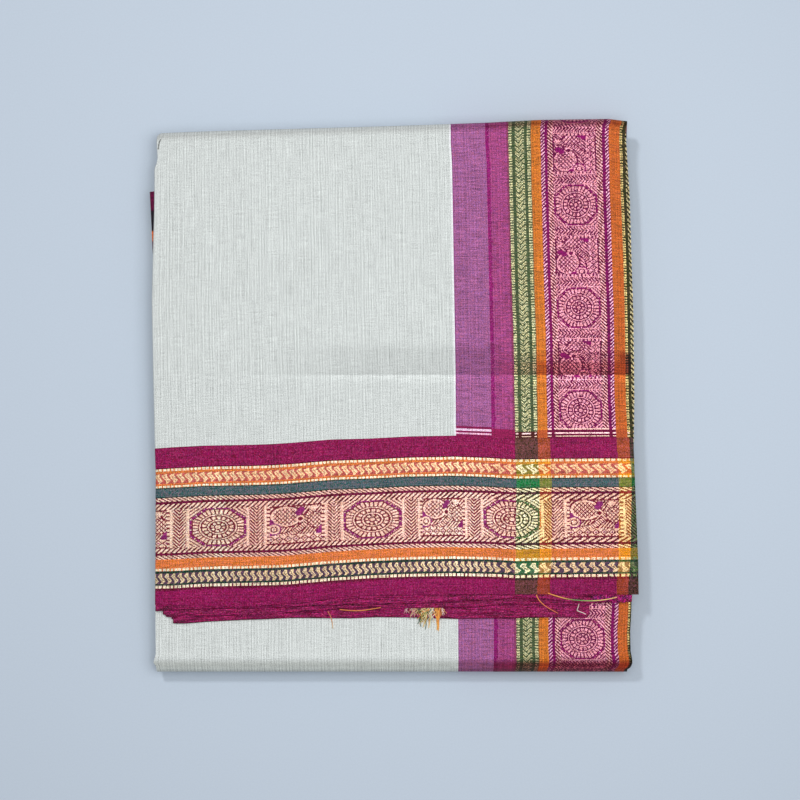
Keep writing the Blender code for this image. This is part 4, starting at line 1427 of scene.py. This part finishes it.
class SAREE_OT_plies(bpy.types.Operator):
    """Make the layers whose ends show below the flap, and the curled corner"""

    bl_idname = "saree.plies"
    bl_label = "Under layers"

    def execute(self, context):
        self.make_curl()
        for row in PLIES:
            self.make_ply(*row)
        return {"FINISHED"}

    def make_ply(self, name, end, top, left, right, seed):
        rows = stepped_edges(0.0, (PLY_SHOWN, 0.45), (PLY_LENGTH, 12.0))
        share = stepped_edges(0.0, (0.06, 0.0014), (1.0, 1 / 320))[None, :]
        from_end = rows[:, None]
        y_end = -135.0 + from_end
        left = left + np.maximum(-146.2 - left, 0.0) * smooth((y_end + 131) / 4)
        far_right = right + (144.2 - right) * smooth((y_end + 122) / 6)
        x = left + share * (far_right - left)
        low = lookup(end, x)
        high = lookup(TOP_END, x) - ROLL_RADIUS
        hidden = (high - low - PLY_SHOWN) * (from_end - PLY_SHOWN) / (PLY_LENGTH - PLY_SHOWN)
        y = np.where(from_end < PLY_SHOWN, low + from_end, low + PLY_SHOWN + hidden)
        near_end = 1 - smooth((from_end - 6) / 8)
        lip = 0.35 * bell(from_end - 0.9, 1.0) - 0.35 * bell(from_end, 0.5)
        pleats = ripples(x, from_end, seed, 70, 5.5, 0.16) * near_end
        folds = bell(ripples(x, from_end, seed + 10, 150, 9, 1.0), 0.1) * near_end
        folds = folds * smooth((from_end - 1.0) / 0.8)
        relief = np.minimum(flap_relief(x, y), 0.4) * smooth((from_end - 8) / 8)
        z = top + lip + pleats - 0.3 * folds + relief
        places = np.stack([x, y, z + 0 * x], axis=-1)
        cells = plain_cells(places, colours().magenta)
        # Painted shade along each ply's cut end and in the valleys of its folds
        dark = 1 - 0.5 * bell(middles(rows) - 0.1, 0.55)[:, None]
        dark = dark - 0.34 * (folds[:-1, :-1] + folds[1:, 1:]) / 2
        cells[:, :, :3] *= dark[:, :, None]
        cells = spun(cells, seed, 0.1, 0.03, 0.1, hue=0.08, sheen_fleck=0.055)
        woven(name, places, cells, share[0] * 280, rows)

    def make_curl(self):
        around = np.linspace(0, 2 * math.pi, 33)
        along = even_edges(123.0, 149.4, 0.4)
        x = along[:, None] + 0 * around[None, :]
        size = smooth((x - 122) / 6) * (1 - 0.55 * smooth((x - 147) / 3))
        lump = 1 + 0.16 * np.sin(3 * around[None, :] + 0.9 * x) + 0.1 * np.sin(1.7 * x)
        lump = lump + 0.07 * np.sin(3.9 * x + 1)
        centre_y = -126.7 + 0.5 * np.sin(0.35 * x)
        y = centre_y + 2.3 * size * lump * np.cos(around)[None, :]
        x = x + 0.3 * (y + 126.7) * smooth((x - 140) / 9)
        z = 20.2 + 1.15 * size * lump * np.sin(around)[None, :]
        places = np.stack([x, y, z], axis=-1)[::-1]
        cells = plain_cells(places, linear((146, 10, 96)))
        # Painted light and shade that wind round the curled roll
        twist_shading = np.sin(2.5 * middles(around)[None, :] + 0.9 * middles(along)[:, None])
        cells[:, :, :3] *= (0.8 + 0.4 * twist_shading)[:, :, None]
        cells = spun(cells, 84, 0.12, 0.15, 0.35, hue=0.2, sheen_fleck=0.1)
        uv = grid_uv(around * 2, along)[:, :-1]
        finish = cloth_material("magenta silk")
        piece = closed_rings("curled_corner", places[:, :-1], cells, uv, finish)
        keep(piece, "under_magenta", "rolled_corner")
        keep(fuzz_on(piece, "corner_fuzz", (168, 24, 116)), "under_magenta")


def node_group(name, inputs):
    """A node tree for geometry, the identifiers of its inputs, and what it is given."""
    tree = bpy.data.node_groups.new(name, "GeometryNodeTree")
    keys = {}
    for label, kind in inputs.items():
        socket = tree.interface.new_socket(label, in_out="INPUT", socket_type="NodeSocket" + kind)
        keys[label] = socket.identifier
    tree.interface.new_socket("Result", in_out="OUTPUT", socket_type="NodeSocketGeometry")
    return tree, keys, put(tree, "NodeGroupInput").outputs


def tube(tree, path, radius, sides):
    """Closed tubes along paths."""
    ring = put(tree, "GeometryNodeCurvePrimitiveCircle", {"Resolution": sides, "Radius": radius})
    inputs = {"Curve": path, "Profile Curve": ring.outputs[0], "Fill Caps": True}
    return put(tree, "GeometryNodeCurveToMesh", inputs)


def end_group(tree, geometry, finish):
    """Ends a node tree: real geometry with its material."""
    real = put(tree, "GeometryNodeRealizeInstances", {0: geometry})
    inputs = {"Geometry": real.outputs[0], "Material": finish}
    painted = put(tree, "GeometryNodeSetMaterial", inputs)
    put(tree, "NodeGroupOutput", {"Result": painted.outputs[0]})


def worked_out(source, tree, keys, values, name):
    """What a node tree makes of an object, as a plain object in its place."""
    modifier = source.modifiers.new("Nodes", "NODES")
    modifier.node_group = tree
    for label, value in values.items():
        modifier[keys[label]] = value
    evaluated = source.evaluated_get(bpy.context.evaluated_depsgraph_get())
    mesh = bpy.data.meshes.new_from_object(evaluated)
    mesh.name = name
    bpy.data.objects.remove(source, do_unlink=True)
    return linked(name, mesh)


def paint_points(mesh, values):
    """Gives each point of a mesh its colour."""
    attribute = mesh.attributes.new("weave", "FLOAT_COLOR", "POINT")
    attribute.data.foreach_set("color", np.array(values, dtype=np.float32).ravel())


def fuzz_tree(finish):
    """Node tree that grows short, bent fibres on a surface."""
    sizes = {"Fibres a square metre": "Float", "Fibre length": "Float", "Fibre radius": "Float"}
    inputs = {"Cloth": "Geometry", **sizes, "Seed": "Int"}
    tree, keys, given = node_group("fuzz of fibres", inputs)
    seed = given["Seed"]
    inputs = {"Mesh": given["Cloth"], "Density": given["Fibres a square metre"], "Seed": seed}
    roots = put(tree, "GeometryNodeDistributePointsOnFaces", inputs)
    inputs = {"Resolution": 4, "Start": (0, 0, 0), "Middle": (0.1, 0, 0.7), "End": (0.6, 0, 1.0)}
    bend = put(tree, "GeometryNodeCurveQuadraticBezier", inputs)
    reach = put(tree, "ShaderNodeCombineXYZ", {axis: given["Fibre length"] for axis in range(3)})
    inputs = {"Geometry": bend.outputs[0], "Scale": reach.outputs[0]}
    sized = put(tree, "GeometryNodeTransform", inputs)
    fibre = tube(tree, sized.outputs[0], given["Fibre radius"], 3)
    inputs = {"Min": (-0.9, -0.9, 0.0), "Max": (0.9, 0.9, 6.28), "Seed": seed}
    turn = put(tree, "FunctionNodeRandomValue", inputs, data_type="FLOAT_VECTOR")
    size = put(tree, "FunctionNodeRandomValue", {2: 0.5, 3: 1.3, "Seed": seed}, data_type="FLOAT")
    inputs = {0: roots.outputs["Rotation"], 1: turn.outputs[0]}
    tilt = put(tree, "FunctionNodeRotateRotation", inputs, rotation_space="LOCAL")
    inputs = {
        "Points": roots.outputs["Points"],
        "Instance": fibre.outputs[0],
        "Rotation": tilt.outputs[0],
        "Scale": size.outputs[1],
    }
    placed = put(tree, "GeometryNodeInstanceOnPoints", inputs)
    end_group(tree, placed.outputs[0], finish)
    return tree, keys


def fuzz_on(cloth, name, colour):
    """Short loose fibres that stand off a piece of cloth."""
    tree, keys = fuzz_tree(thread_material())
    source = cloth.copy()
    bpy.context.scene.collection.objects.link(source)
    values = {
        "Fibres a square metre": 420000.0,
        "Fibre length": 0.0011,
        "Fibre radius": 0.00008,
        "Seed": 7,
    }
    made = worked_out(source, tree, keys, values, name)
    mesh = made.data
    for layer in ("weave", "cloth"):
        if layer in mesh.attributes:
            mesh.attributes.remove(mesh.attributes[layer])
    paint_points(mesh, np.tile([*linear(colour), 1.0], (len(mesh.vertices), 1)))
    return made


# Width of a side layer's chart
LAYER_WIDTH = 12.0

# Orange of the stripes at the right side
SIDE_ORANGE = (201, 109, 57)

# What peeps out on the left, from the bottom up. Columns: end in y, red, green, blue
LEFT_PEEK = (
    (98.6, 92, 10, 50),
    (104.9, 226, 112, 42),
    (117.4, 34, 22, 34),
    (131.0, 94, 2, 54),
    (170.0, 190, 186, 178),
)


class SAREE_OT_side_layers(bpy.types.Operator):
    """Make the layers that peep out past the flap on both sides"""

    bl_idname = "saree.side_layers"
    bl_label = "Side layers"

    def execute(self, context):
        across = even_edges(0.0, LAYER_WIDTH, 0.5)
        self.make_left(across)
        self.make_right(across)
        return {"FINISHED"}

    def grid(self, rows, across, start, end, drop):
        """A grid of places from a start to an end in x, with a drop in height at each place across."""
        x = start + across[None, :] / LAYER_WIDTH * (end - start)
        return np.stack([x, rows[:, None] + 0 * x, STRIP_TOP - drop[None, :] + 0 * x], axis=-1)

    def make_left(self, across):
        rows = np.unique(np.concatenate([even_edges(-103.5, 160.0, 0.7), [129.2, 130.0]]))
        outer = lookup(LEFT_LAYER_EDGE, rows)[:, None]
        inner = lookup(LEFT_EDGE, rows)[:, None] + SHELF
        places = self.grid(rows, across, outer, inner, 0.5 * (1 - smooth(across / 2.0)))
        index = np.searchsorted([row[0] for row in LEFT_PEEK], middles(rows))
        colour = np.array([linear(row[1:]) for row in LEFT_PEEK])[index]
        cells = spun(plain_cells(places, colour[:, None, :]), 91)
        woven("left_corner_cloth", places, cells, across, rows)

    def make_right(self, across):
        rows = even_edges(-103.5, 167.0, 0.7)
        outer = lookup(LAYER_RIGHT_EDGE, rows)[:, None]
        inner = lookup(STACK_RIGHT_EDGE, rows)[:, None] - SHELF
        places = self.grid(rows, across, inner, outer, 0.45 * smooth((across - 10.5) / 1.5))
        run, place = np.meshgrid(middles(rows), middles(across), indexing="ij")
        gold = repeat((run + 1.1 * place) / SELVEDGE_PITCH, 0.5) * (place > 8.9)
        black = linear((40, 38, 24))
        cells = plain_cells(places, black + (linear((232, 214, 160)) - black) * gold[:, :, None])
        cells[:, :, 3] = gold
        cells[place < 6.5, :3] = linear(SIDE_ORANGE)
        woven("right_selvedge_cloth", places, spun(cells, 92), across, rows)


# Thickness of a fold at the stack's edges, the steps that it is rounded with, how far the stack
# stays inside the bottom fold, and its back end in y before the top end's line is known
FOLD_PITCH = 0.6
FOLD_STEPS = 4
STACK_INSET = 1.4
STACK_BACK = 168.0


def stack_bottom(z):
    """Front end in y of the stack, inside the bottom fold and behind the cloth tucked under it."""
    radius = BOTTOM_RADIUS - STACK_INSET
    reach = np.sqrt(np.maximum(radius**2 - (z - BOTTOM_RADIUS) ** 2, 0.0))
    return np.where(z < STACK_INSET, TUCK_END + 0.3, BOTTOM_CENTRE - reach)


# Radius of the two rolls under the flap's
LOW_ROLL_RADIUS = 2.95


def stack_top_inset(z):
    """How far the stack stays inside the bundle's top end, with two rolls under the flap's."""
    half = LOW_ROLL_RADIUS
    lower = z < 2 * half
    middle = np.where(lower, half, 3 * half)
    back = np.where(lower, 2.4, 1.3)
    rolls = back + half - np.sqrt(np.maximum(half**2 - (z - middle) ** 2, 0.0))
    return np.where(z < 4 * half, rolls, ROLL_RADIUS + 2.0)


class SAREE_OT_stack(bpy.types.Operator):
    """Make the folded edges of the hidden layers"""

    bl_idname = "saree.stack"
    bl_label = "Stack of folds"

    def execute(self, context):
        folds = round(STACK_TOP / FOLD_PITCH)
        z = np.linspace(0.0, STACK_TOP, folds * FOLD_STEPS + 1)
        fold = np.minimum((z / FOLD_PITCH).astype(int), folds - 1)
        share = z / FOLD_PITCH - fold
        round_in = 0.42 * (1 - np.sqrt(np.maximum(1 - (2 * share - 1) ** 2, 0.0)))
        rng = np.random.default_rng(101)
        stagger = rng.uniform(0.1, 1.5, (4, folds))
        stagger[:, 0] = 0.3
        side, place = self.sides()
        levels = zip(z, fold, round_in)
        rings = np.array([self.ring(*level, stagger, side, place) for level in levels])
        cells = self.shades(rings, fold, side)
        length = np.linspace(0, 1.28, len(side))
        uv = np.stack(np.meshgrid(length, z * MM), axis=-1)
        piece = closed_rings("stack_of_folds", rings, cells, uv, cloth_material("folded edges"))
        keep(piece, "stack_edges", "under_stack")
        return {"FINISHED"}

    def sides(self):
        """Side numbers and places along the sides, all the way round: front, right, back, left."""
        counts = (60, 150, 150, 150)
        place = np.concatenate([np.arange(count) / count for count in counts])
        return np.repeat(np.arange(4), counts), place

    def ring(self, z, fold, round_in, stagger, side, place):
        low = float(stack_bottom(z))
        inset = float(stack_top_inset(z))
        waves = ripples(place * 300, side * 100.0 + fold * 7.3, 102, 60, 40, 0.3)
        push = stagger[side, fold] + round_in + np.maximum(waves, -stagger[side, fold])
        push = np.where(side == 0, 0.0, push)
        ease = smooth(place / 0.02) * smooth((1 - place) / 0.02)
        push = push * ease + round_in * (1 - ease)
        u = np.choose(side, [place, 1 + 0 * place, 1 - place, 0 * place])
        v = np.choose(side, [0 * place, place, 1 + 0 * place, 1 - place])
        rough_y = low + v * (STACK_BACK - low)
        left = lookup(LEFT_EDGE, rough_y) + 0.3
        right = lookup(STACK_RIGHT_EDGE, rough_y) - 0.5
        x = left + u * (right - left)
        high = lookup(TOP_END, x) - inset - 0.2
        y = low + v * (high - low)
        x = x + np.where(side == 3, push, 0) - np.where(side == 1, push, 0)
        y = y - np.where(side == 2, push * 0.6, 0)
        return np.stack([x, y, z + 0 * x], axis=-1)

    def shades(self, rings, fold, side):
        """Cream folds on the left, folds and selvedges on the right, and the stripes at the back."""
        cells = np.zeros((len(fold) - 1, len(side), 4))
        cells[:, :, :3] = colours().fold
        level = fold[:-1, None]
        x = rings[:-1, :, 0]
        y = rings[:-1, :, 1]
        right = (side == 1)[None, :]
        selvedge = right & (level % 2 == 1)
        gold = repeat((y + 0.3 * level) / 2.1, 0.5)[:, :, None]
        dark = linear((52, 62, 42))
        gilded = dark + (linear((204, 184, 118)) - dark) * gold
        cells[:, :, :3] = np.where(selvedge[:, :, None], gilded, cells[:, :, :3])
        orange = right & (level % 8 == 4)
        cells[:, :, :3] = np.where(orange[:, :, None], linear(SIDE_ORANGE), cells[:, :, :3])
        back = (side == 2)[None, :] & (x > TOP_MIXED)
        across = x - TOP_BORDER
        index = band_index(BORDER_BANDS, np.maximum(across, 0))
        table = []
        for _, kind, ground, bright in BORDER_BANDS:
            mix = 0.0 if kind in ("plain", "ragged") else 0.55
            table.append(linear(BORDER_COLOURS[ground]) * (1 - mix) + linear(BORDER_COLOURS[bright]) * mix)
        stripes = np.where((across < 0)[:, :, None], linear(MIXED_VIOLET), np.array(table)[index])
        cells[:, :, :3] = np.where(back[:, :, None], stripes, cells[:, :, :3])
        return spun(cells, 103, rows=0.03, columns=0.02, single=0.03, hue=0.02)


# Loose threads on the cloth. Columns: radius share, colours from 0 to 255, then places in x, y and z
LOOSE_THREADS = (
    (
        1.0,
        ((246, 152, 66), (248, 172, 84), (60, 142, 66), (150, 190, 96), (250, 214, 130), (244, 190, 110)),
        ((96.7, -123.2, 21.9), (103.0, -125.4, 21.5), (110.5, -127.4, 21.2), (123.4, -128.2, 21.3),
         (133.0, -127.4, 21.9), (140.0, -125.7, 21.9)),
    ),
    (
        0.9,
        ((246, 150, 66), (238, 124, 70), (226, 108, 76)),
        ((89.4, -124.2, 21.8), (90.6, -127.2, 21.4), (93.9, -130.6, 20.9), (98.0, -133.3, 20.0),
         (103.2, -136.1, 19.7)),
    ),
    (
        0.9,
        ((214, 190, 178), (236, 214, 210), (240, 220, 214)),
        ((116.2, -130.0, 20.9), (115.8, -132.6, 20.3), (114.6, -134.4, 19.9), (118.4, -135.5, 19.8),
         (120.6, -136.6, 19.3), (122.6, -138.0, 18.9)),
    ),
    (
        0.9,
        ((216, 120, 52), (232, 142, 60), (222, 128, 50)),
        ((-34.2, -133.6, 20.3), (-27.0, -134.4, 20.0), (-20.5, -134.4, 20.0), (-13.5, -133.3, 20.2),
         (-8.2, -132.3, 20.5)),
    ),
    (
        0.7,
        ((206, 120, 74), (224, 146, 84), (226, 196, 150)),
        ((-41.6, -134.8, 20.0), (-40.0, -137.6, 19.8), (-39.2, -140.4, 19.0), (-38.4, -145.8, 18.8)),
    ),
)

# The tuft's strands. Columns: count, left and right of the roots, foot, its spread, shortest, longest,
# sway, share of the radius, colours
TUFT = (
    (6, 6.8, 10.0, 7.8, 2.6, 3.0, 4.6, 0.5, 0.75,
     ((236, 186, 190), (196, 96, 130))),
    (16, 10.2, 15.0, 11.6, 3.2, 3.4, 6.6, 0.8, 0.8,
     ((240, 200, 196), (176, 80, 116), (228, 160, 130), (214, 190, 130))),
    (30, 14.8, 23.0, 17.8, 4.0, 5.4, 12.0, 1.5, 0.9,
     ((246, 232, 180), (240, 196, 96), (236, 150, 70), (122, 152, 80), (62, 92, 48))),
    (16, 21.0, 25.0, 22.9, 2.2, 5.0, 13.6, 1.1, 0.9,
     ((60, 92, 50), (226, 228, 194), (248, 238, 218), (250, 190, 120))),
    (12, 25.4, 29.2, 27.3, 0.9, 7.0, 15.0, 0.6, 1.0,
     ((255, 168, 60), (246, 148, 52), (255, 186, 88))),
    (6, 28.6, 31.4, 31.3, 1.6, 3.6, 6.0, 0.7, 0.8,
     ((246, 216, 208), (228, 160, 156), (246, 180, 110))),
)

# Sides of a thread
THREAD_SIDES = 6


def thread_tree(finish):
    """Node tree that turns paths into round threads."""
    inputs = {"Paths": "Geometry", "Thread radius": "Float", "Stations": "Int"}
    tree, keys, given = node_group("round threads", inputs)
    inputs = {"Curve": given["Paths"], "Count": given["Stations"]}
    spaced = put(tree, "GeometryNodeResampleCurve", inputs)
    round_thread = tube(tree, spaced.outputs[0], given["Thread radius"], THREAD_SIDES)
    if "Scale" in round_thread.inputs:
        fill(tree, round_thread, {"Scale": put(tree, "GeometryNodeInputRadius").outputs[0]})
    end_group(tree, round_thread.outputs[0], finish)
    return tree, keys


def threads_piece(name, group, paths, tapers, shades, stations):
    """Threads along paths in millimetres, each with its own colours along it."""
    curve = bpy.data.curves.new(name + "_paths", "CURVE")
    curve.dimensions = "3D"
    for path, (first, last) in zip(paths, tapers):
        spline = curve.splines.new("POLY")
        spline.points.add(len(path) - 1)
        for number, place in enumerate((path + OUTLINE_SHIFT) * MM):
            spline.points[number].co = (*place, 1.0)
            spline.points[number].radius = first + (last - first) * number / (len(path) - 1)
    source = linked(name + "_paths", curve)
    values = {"Thread radius": settings().thread, "Stations": stations}
    made = worked_out(source, *group, values, name)
    points = []
    for colour_steps in shades:
        steps = linear(colour_steps)
        for place in np.linspace(0, len(steps) - 1, stations):
            mixed = [np.interp(place, np.arange(len(steps)), channel) for channel in steps.T]
            points += [[*mixed, 1.0]] * THREAD_SIDES
    if len(points) != len(made.data.vertices):
        raise RuntimeError(f"{name} has {len(made.data.vertices)} vertices, not {len(points)}")
    paint_points(made.data, points)
    made.data.shade_smooth()
    return made


def curve_through(points, count=24):
    """A smooth path through a few places."""
    knots = np.asarray(points, dtype=float)
    steps = np.concatenate([[0.0], np.cumsum(np.linalg.norm(np.diff(knots, axis=0), axis=1))])
    at = np.linspace(0, steps[-1], count)
    path = np.stack([np.interp(at, steps, knots[:, axis]) for axis in range(3)], axis=-1)
    for _ in range(6):
        path[1:-1] = (path[:-2] + 2 * path[1:-1] + path[2:]) / 4
    return path


# Heights of a strand on the lowest ply and on the strip, and roots of the tuft in y and in height
ON_PLY = 19.65
ON_STRIP = 18.7
ROOT_Y = -132.7
ROOT_HEIGHT = 19.75


def cloth_height(y):
    """Height of what a strand lies on, below the cut end."""
    return ON_PLY + (ON_STRIP - ON_PLY) * smooth((-y - 138.6) / 2.5)


class SAREE_OT_threads(bpy.types.Operator):
    """Make the tuft of loose warp ends and the stray threads"""

    bl_idname = "saree.threads"
    bl_label = "Threads"

    def execute(self, context):
        group = thread_tree(thread_material())
        rng = np.random.default_rng(111)
        paths, tapers, shades = [], [], []
        share = np.linspace(0, 1, 20)
        total = sum(row[0] for row in TUFT)
        for count, left, right, foot, spread, shortest, longest, sway, breadth, palette in TUFT:
            for number in range(max(1, round(count * settings().strands / total))):
                root = rng.uniform(left, right)
                length = rng.uniform(shortest, longest)
                end = foot + rng.normal(0, 0.5) * spread
                turns = rng.uniform(0.8, 2.4)
                swing = sway * rng.uniform(0.4, 1.1) * np.sin(2 * math.pi * (turns * share + rng.random()))
                x = root + (end - root) * share**0.8 + swing * np.sin(math.pi * np.minimum(share * 1.3, 1.0))
                y = ROOT_Y - length * share + 0.5 * sway * np.sin(5 * share + 6 * rng.random()) * share
                z = cloth_height(y) + rng.uniform(0.1, 1.3) * np.sin(math.pi * share) + 0.1 * share
                z[0] = ROOT_HEIGHT
                paths.append(np.stack([x, y, z], axis=-1))
                tapers.append((breadth, breadth * 0.75))
                colour = np.clip(np.array(palette[number % len(palette)]) * rng.uniform(0.92, 1.05), 0, 255)
                shades.append([colour * 0.9, colour, np.minimum(colour * 1.05, 255)])
        tuft = threads_piece("thread_tuft", group, paths, tapers, shades, 20)
        keep(tuft, "fringe_thread", "fringe_tuft")

        paths = [curve_through(points) for _, _, points in LOOSE_THREADS]
        tapers = [(1.5 * share, 1.2 * share) for share, _, _ in LOOSE_THREADS]
        shades = [steps for _, steps, _ in LOOSE_THREADS]
        loose = threads_piece("stray_threads", group, paths, tapers, shades, 24)
        keep(loose, "fringe_thread")
        return {"FINISHED"}


# Lights. Columns: name, place, breadth, power
LIGHTS = (
    ("overhead softbox", (0.15, 0.05, 0.8), 0.5, 2.5),
    ("key", (-0.8, 1.25, 1.9), 0.25, 15.5),
    ("side fill", (0.42, -0.05, 1.9), 0.3, 3.4),
)

# Half the floor's breadth in metres, and the photo's width and middle in millimetres
FLOOR_HALF = 3.0
PHOTO_WIDTH = 800 * 0.628
PHOTO_MIDDLE = (4.12, -2.93)


class SAREE_OT_stage(bpy.types.Operator):
    """Make the pale floor, the soft light and the camera overhead"""

    bl_idname = "saree.stage"
    bl_label = "Stage"

    def execute(self, context):
        self.make_floor()
        self.make_lights(context.scene)
        self.make_camera(context.scene)
        return {"FINISHED"}

    def make_floor(self):
        mesh = bpy.data.meshes.new("floor")
        half = FLOOR_HALF
        corners = [(-half, -half, 0), (half, -half, 0), (half, half, 0), (-half, half, 0)]
        mesh.from_pydata(corners, [], [(0, 1, 2, 3)])
        finish, tree, shader = new_material("pale floor")
        shade = add_share(tree, 1.0, object_noise(tree, 900.0, 2.0), 0.035)
        colour = scaled_colour(tree, tuple(colours().floor), shade)
        fill(tree, shader, {"Base Color": colour, "Roughness": 0.9, "Specular IOR Level": 0.1})
        mesh.materials.append(finish)
        linked("floor", mesh)

    def make_lights(self, scene):
        world = bpy.data.worlds.new("studio")
        world.use_nodes = True
        sky = world.node_tree.nodes["Background"]
        fill(world.node_tree, sky, {"Color": (0.97, 0.985, 1.0, 1.0), "Strength": 0.36})
        scene.world = world
        for name, place, breadth, power in LIGHTS:
            light = bpy.data.lights.new(name, "AREA")
            light.shape = "SQUARE"
            light.size = breadth
            light.energy = power
            lamp = linked(name, light)
            lamp.location = place
            aim = -lamp.location
            lamp.rotation_euler = aim.to_track_quat("-Z", "Y").to_euler()

    def make_camera(self, scene):
        view = bpy.data.cameras.new("camera")
        view.lens = 85.0
        view.sensor_width = 36.0
        camera = linked("camera", view)
        distance = PHOTO_WIDTH * MM * view.lens / view.sensor_width
        camera.location = (PHOTO_MIDDLE[0] * MM, PHOTO_MIDDLE[1] * MM, FLAP_TOP * MM + distance)
        scene.camera = camera
        scene.view_settings.view_transform = "Standard"


OPERATORS = (
    SAREE_OT_stage,
    SAREE_OT_stack,
    SAREE_OT_lower_strip,
    SAREE_OT_side_layers,
    SAREE_OT_threads,
    SAREE_OT_plies,
    SAREE_OT_flap,
    SAREE_OT_pallu,
)


class SAREE_PT_panel(bpy.types.Panel):
    """Lists the saree's pieces, sizes and colours"""

    bl_idname = "SAREE_PT_panel"
    bl_label = "Folded saree"
    bl_space_type = "VIEW_3D"
    bl_region_type = "UI"
    bl_category = "Saree"

    def draw(self, context):
        for operator in OPERATORS:
            self.layout.operator(operator.bl_idname)
        for group in (context.scene.saree_sizes, context.scene.saree_colours):
            box = self.layout.box()
            for name in type(group).__annotations__:
                box.prop(group, name)


CLASSES = (SareeSizes, SareeColours, *OPERATORS, SAREE_PT_panel)


def register():
    for each in CLASSES:
        bpy.utils.register_class(each)
    bpy.types.Scene.saree_sizes = PointerProperty(type=SareeSizes)
    bpy.types.Scene.saree_colours = PointerProperty(type=SareeColours)


def unregister():
    del bpy.types.Scene.saree_colours
    del bpy.types.Scene.saree_sizes
    for each in reversed(CLASSES):
        bpy.utils.unregister_class(each)


def main():
    register()
    bpy.ops.saree.stage()
    bpy.ops.saree.stack()
    bpy.ops.saree.lower_strip()
    bpy.ops.saree.side_layers()
    bpy.ops.saree.threads()
    bpy.ops.saree.plies()
    bpy.ops.saree.flap()
    bpy.ops.saree.pallu()


if __name__ == "__main__":
    main()
